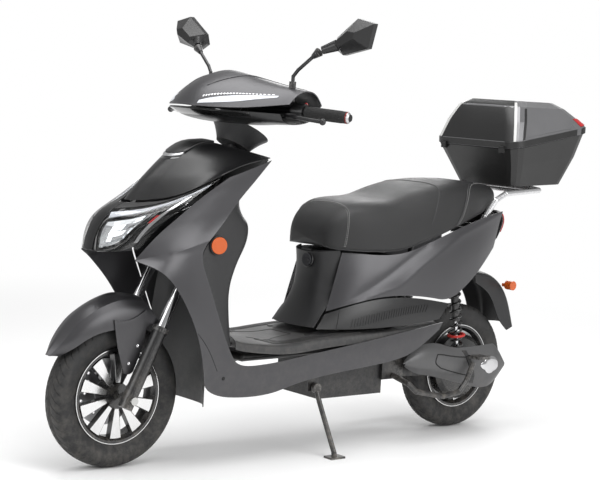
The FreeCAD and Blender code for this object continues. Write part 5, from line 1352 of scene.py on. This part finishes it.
piping = [lid_patch(0.95, 3.6, edge - 0.001, edge + 0.012, 1.6, 2.2) for edge in FRONT_PANEL]
sides = [lid_patch(1.15, 2.5, *span, 1.4) for span in SIDE_PANELS]
corner_seams = [lid_patch(1.0, 2.9, *span, 0.5) for span in CORNER_SEAMS]
reflectors = [lid_patch(1.15, 2.1, *span, 1.8) for span in REAR_CORNERS]
rim_band = lid_patch(0.05, 0.9, 0.0, 0.999, 1.6, 1.6, rows=3)
piece("case_front_panel", lid_patch(1.0, 3.95, *FRONT_PANEL, 1.2), CASE_BLACK, "case_lid")
piece("case_piping", gather(*piping), WHITE, "case_lid")
piece("case_side_panels", gather(*sides), CASE_GREY, "case_lid")
piece("case_corner_seams", gather(*corner_seams), CASE_BLACK, "case_lid")
piece("case_reflectors", gather(*reflectors), TAIL_RED, "case_lid")
piece("case_rim_band", rim_band, CASE_BLACK, "case_lid")


# ---- Tail ---------------------------------------------------------------------------
# Clear-lensed tail lamp over a red core, grey tail end below it, black mudguard flap,
# amber turn signals and side reflectors in black bezels.
AMBER = finish("amber_lens", (0.5, 0.085, 0.008), 0.12, fineness=420, depth=0.00015, mottle=0.2,
               Coat_Weight=0.5, Coat_Roughness=0.05)
TAIL_ROWS = [[(0, 118, 704), (50, 112, 704), (95, 84, 704), (112, 66, 702)],
             [(0, 138, 690), (50, 132, 690), (94, 104, 690), (111, 78, 690)],
             [(0, 142, 660), (50, 134, 660), (90, 108, 658), (108, 80, 656)],
             [(0, 126, 628), (50, 118, 626), (84, 90, 622), (104, 62, 618)]]
TAIL_GLASS = [[(0.12, 0.06), (0.12, 0.5), (0.12, 0.94)], [(0.5, 0.04), (0.5, 0.5), (0.5, 0.96)],
              [(0.88, 0.1), (0.9, 0.5), (0.88, 0.9)]]
tail_poles = behind(across_rows(TAIL_ROWS))
tail_inside = behind((0, 0, 660))
tail_core = inlay(tail_poles, TAIL_GLASS, tail_inside, 3.0, 4.0)
piece("tail_lamp_core", tail_core, TAIL_RED, "root", soft=0.0005)
dress(GREY_PLASTIC, "tail_cover")
dress(PLASTIC, "rear_fender")
dress(SATIN, "tail_light")
dress(AMBER, "rear_indicators", "side_reflectors")
REFLECTOR_AT, REFLECTOR_AIM = ahead((169, 206, 622)), np.array([1, -0.18, 0])
BEZEL = [(0.0225, 0.0), (0.0228, 0.0035), (0.0245, 0.0045), (0.0262, 0.0035), (0.0268, -0.002),
         (0.0225, -0.003)]
bezels = turned(np.array(BEZEL), REFLECTOR_AT, REFLECTOR_AIM / np.linalg.norm(REFLECTOR_AIM), 40)
piece("reflector_bezels", both(bezels), SATIN, "root")
REFLECTOR_LINE = [[(-0.0012, -0.019), (0.0012, -0.019)], [(-0.0012, 0.019), (0.0012, 0.019)]]
mark_base = REFLECTOR_AT + np.array([0.0006, -0.0001, 0])
mark_grid = np.array([[mark_base + np.array([0.0006, y, z]) for y, z in row] for row in REFLECTOR_LINE])
AMBER_BRIGHT = finish("amber_mark", (0.75, 0.33, 0.16), 0.3, fineness=500)
reflector_mark = slab(mark_grid, REFLECTOR_AT - (0.05, 0, 0), 0.0006, -0.0012)
piece("reflector_marks", both(reflector_mark), AMBER_BRIGHT, "root")
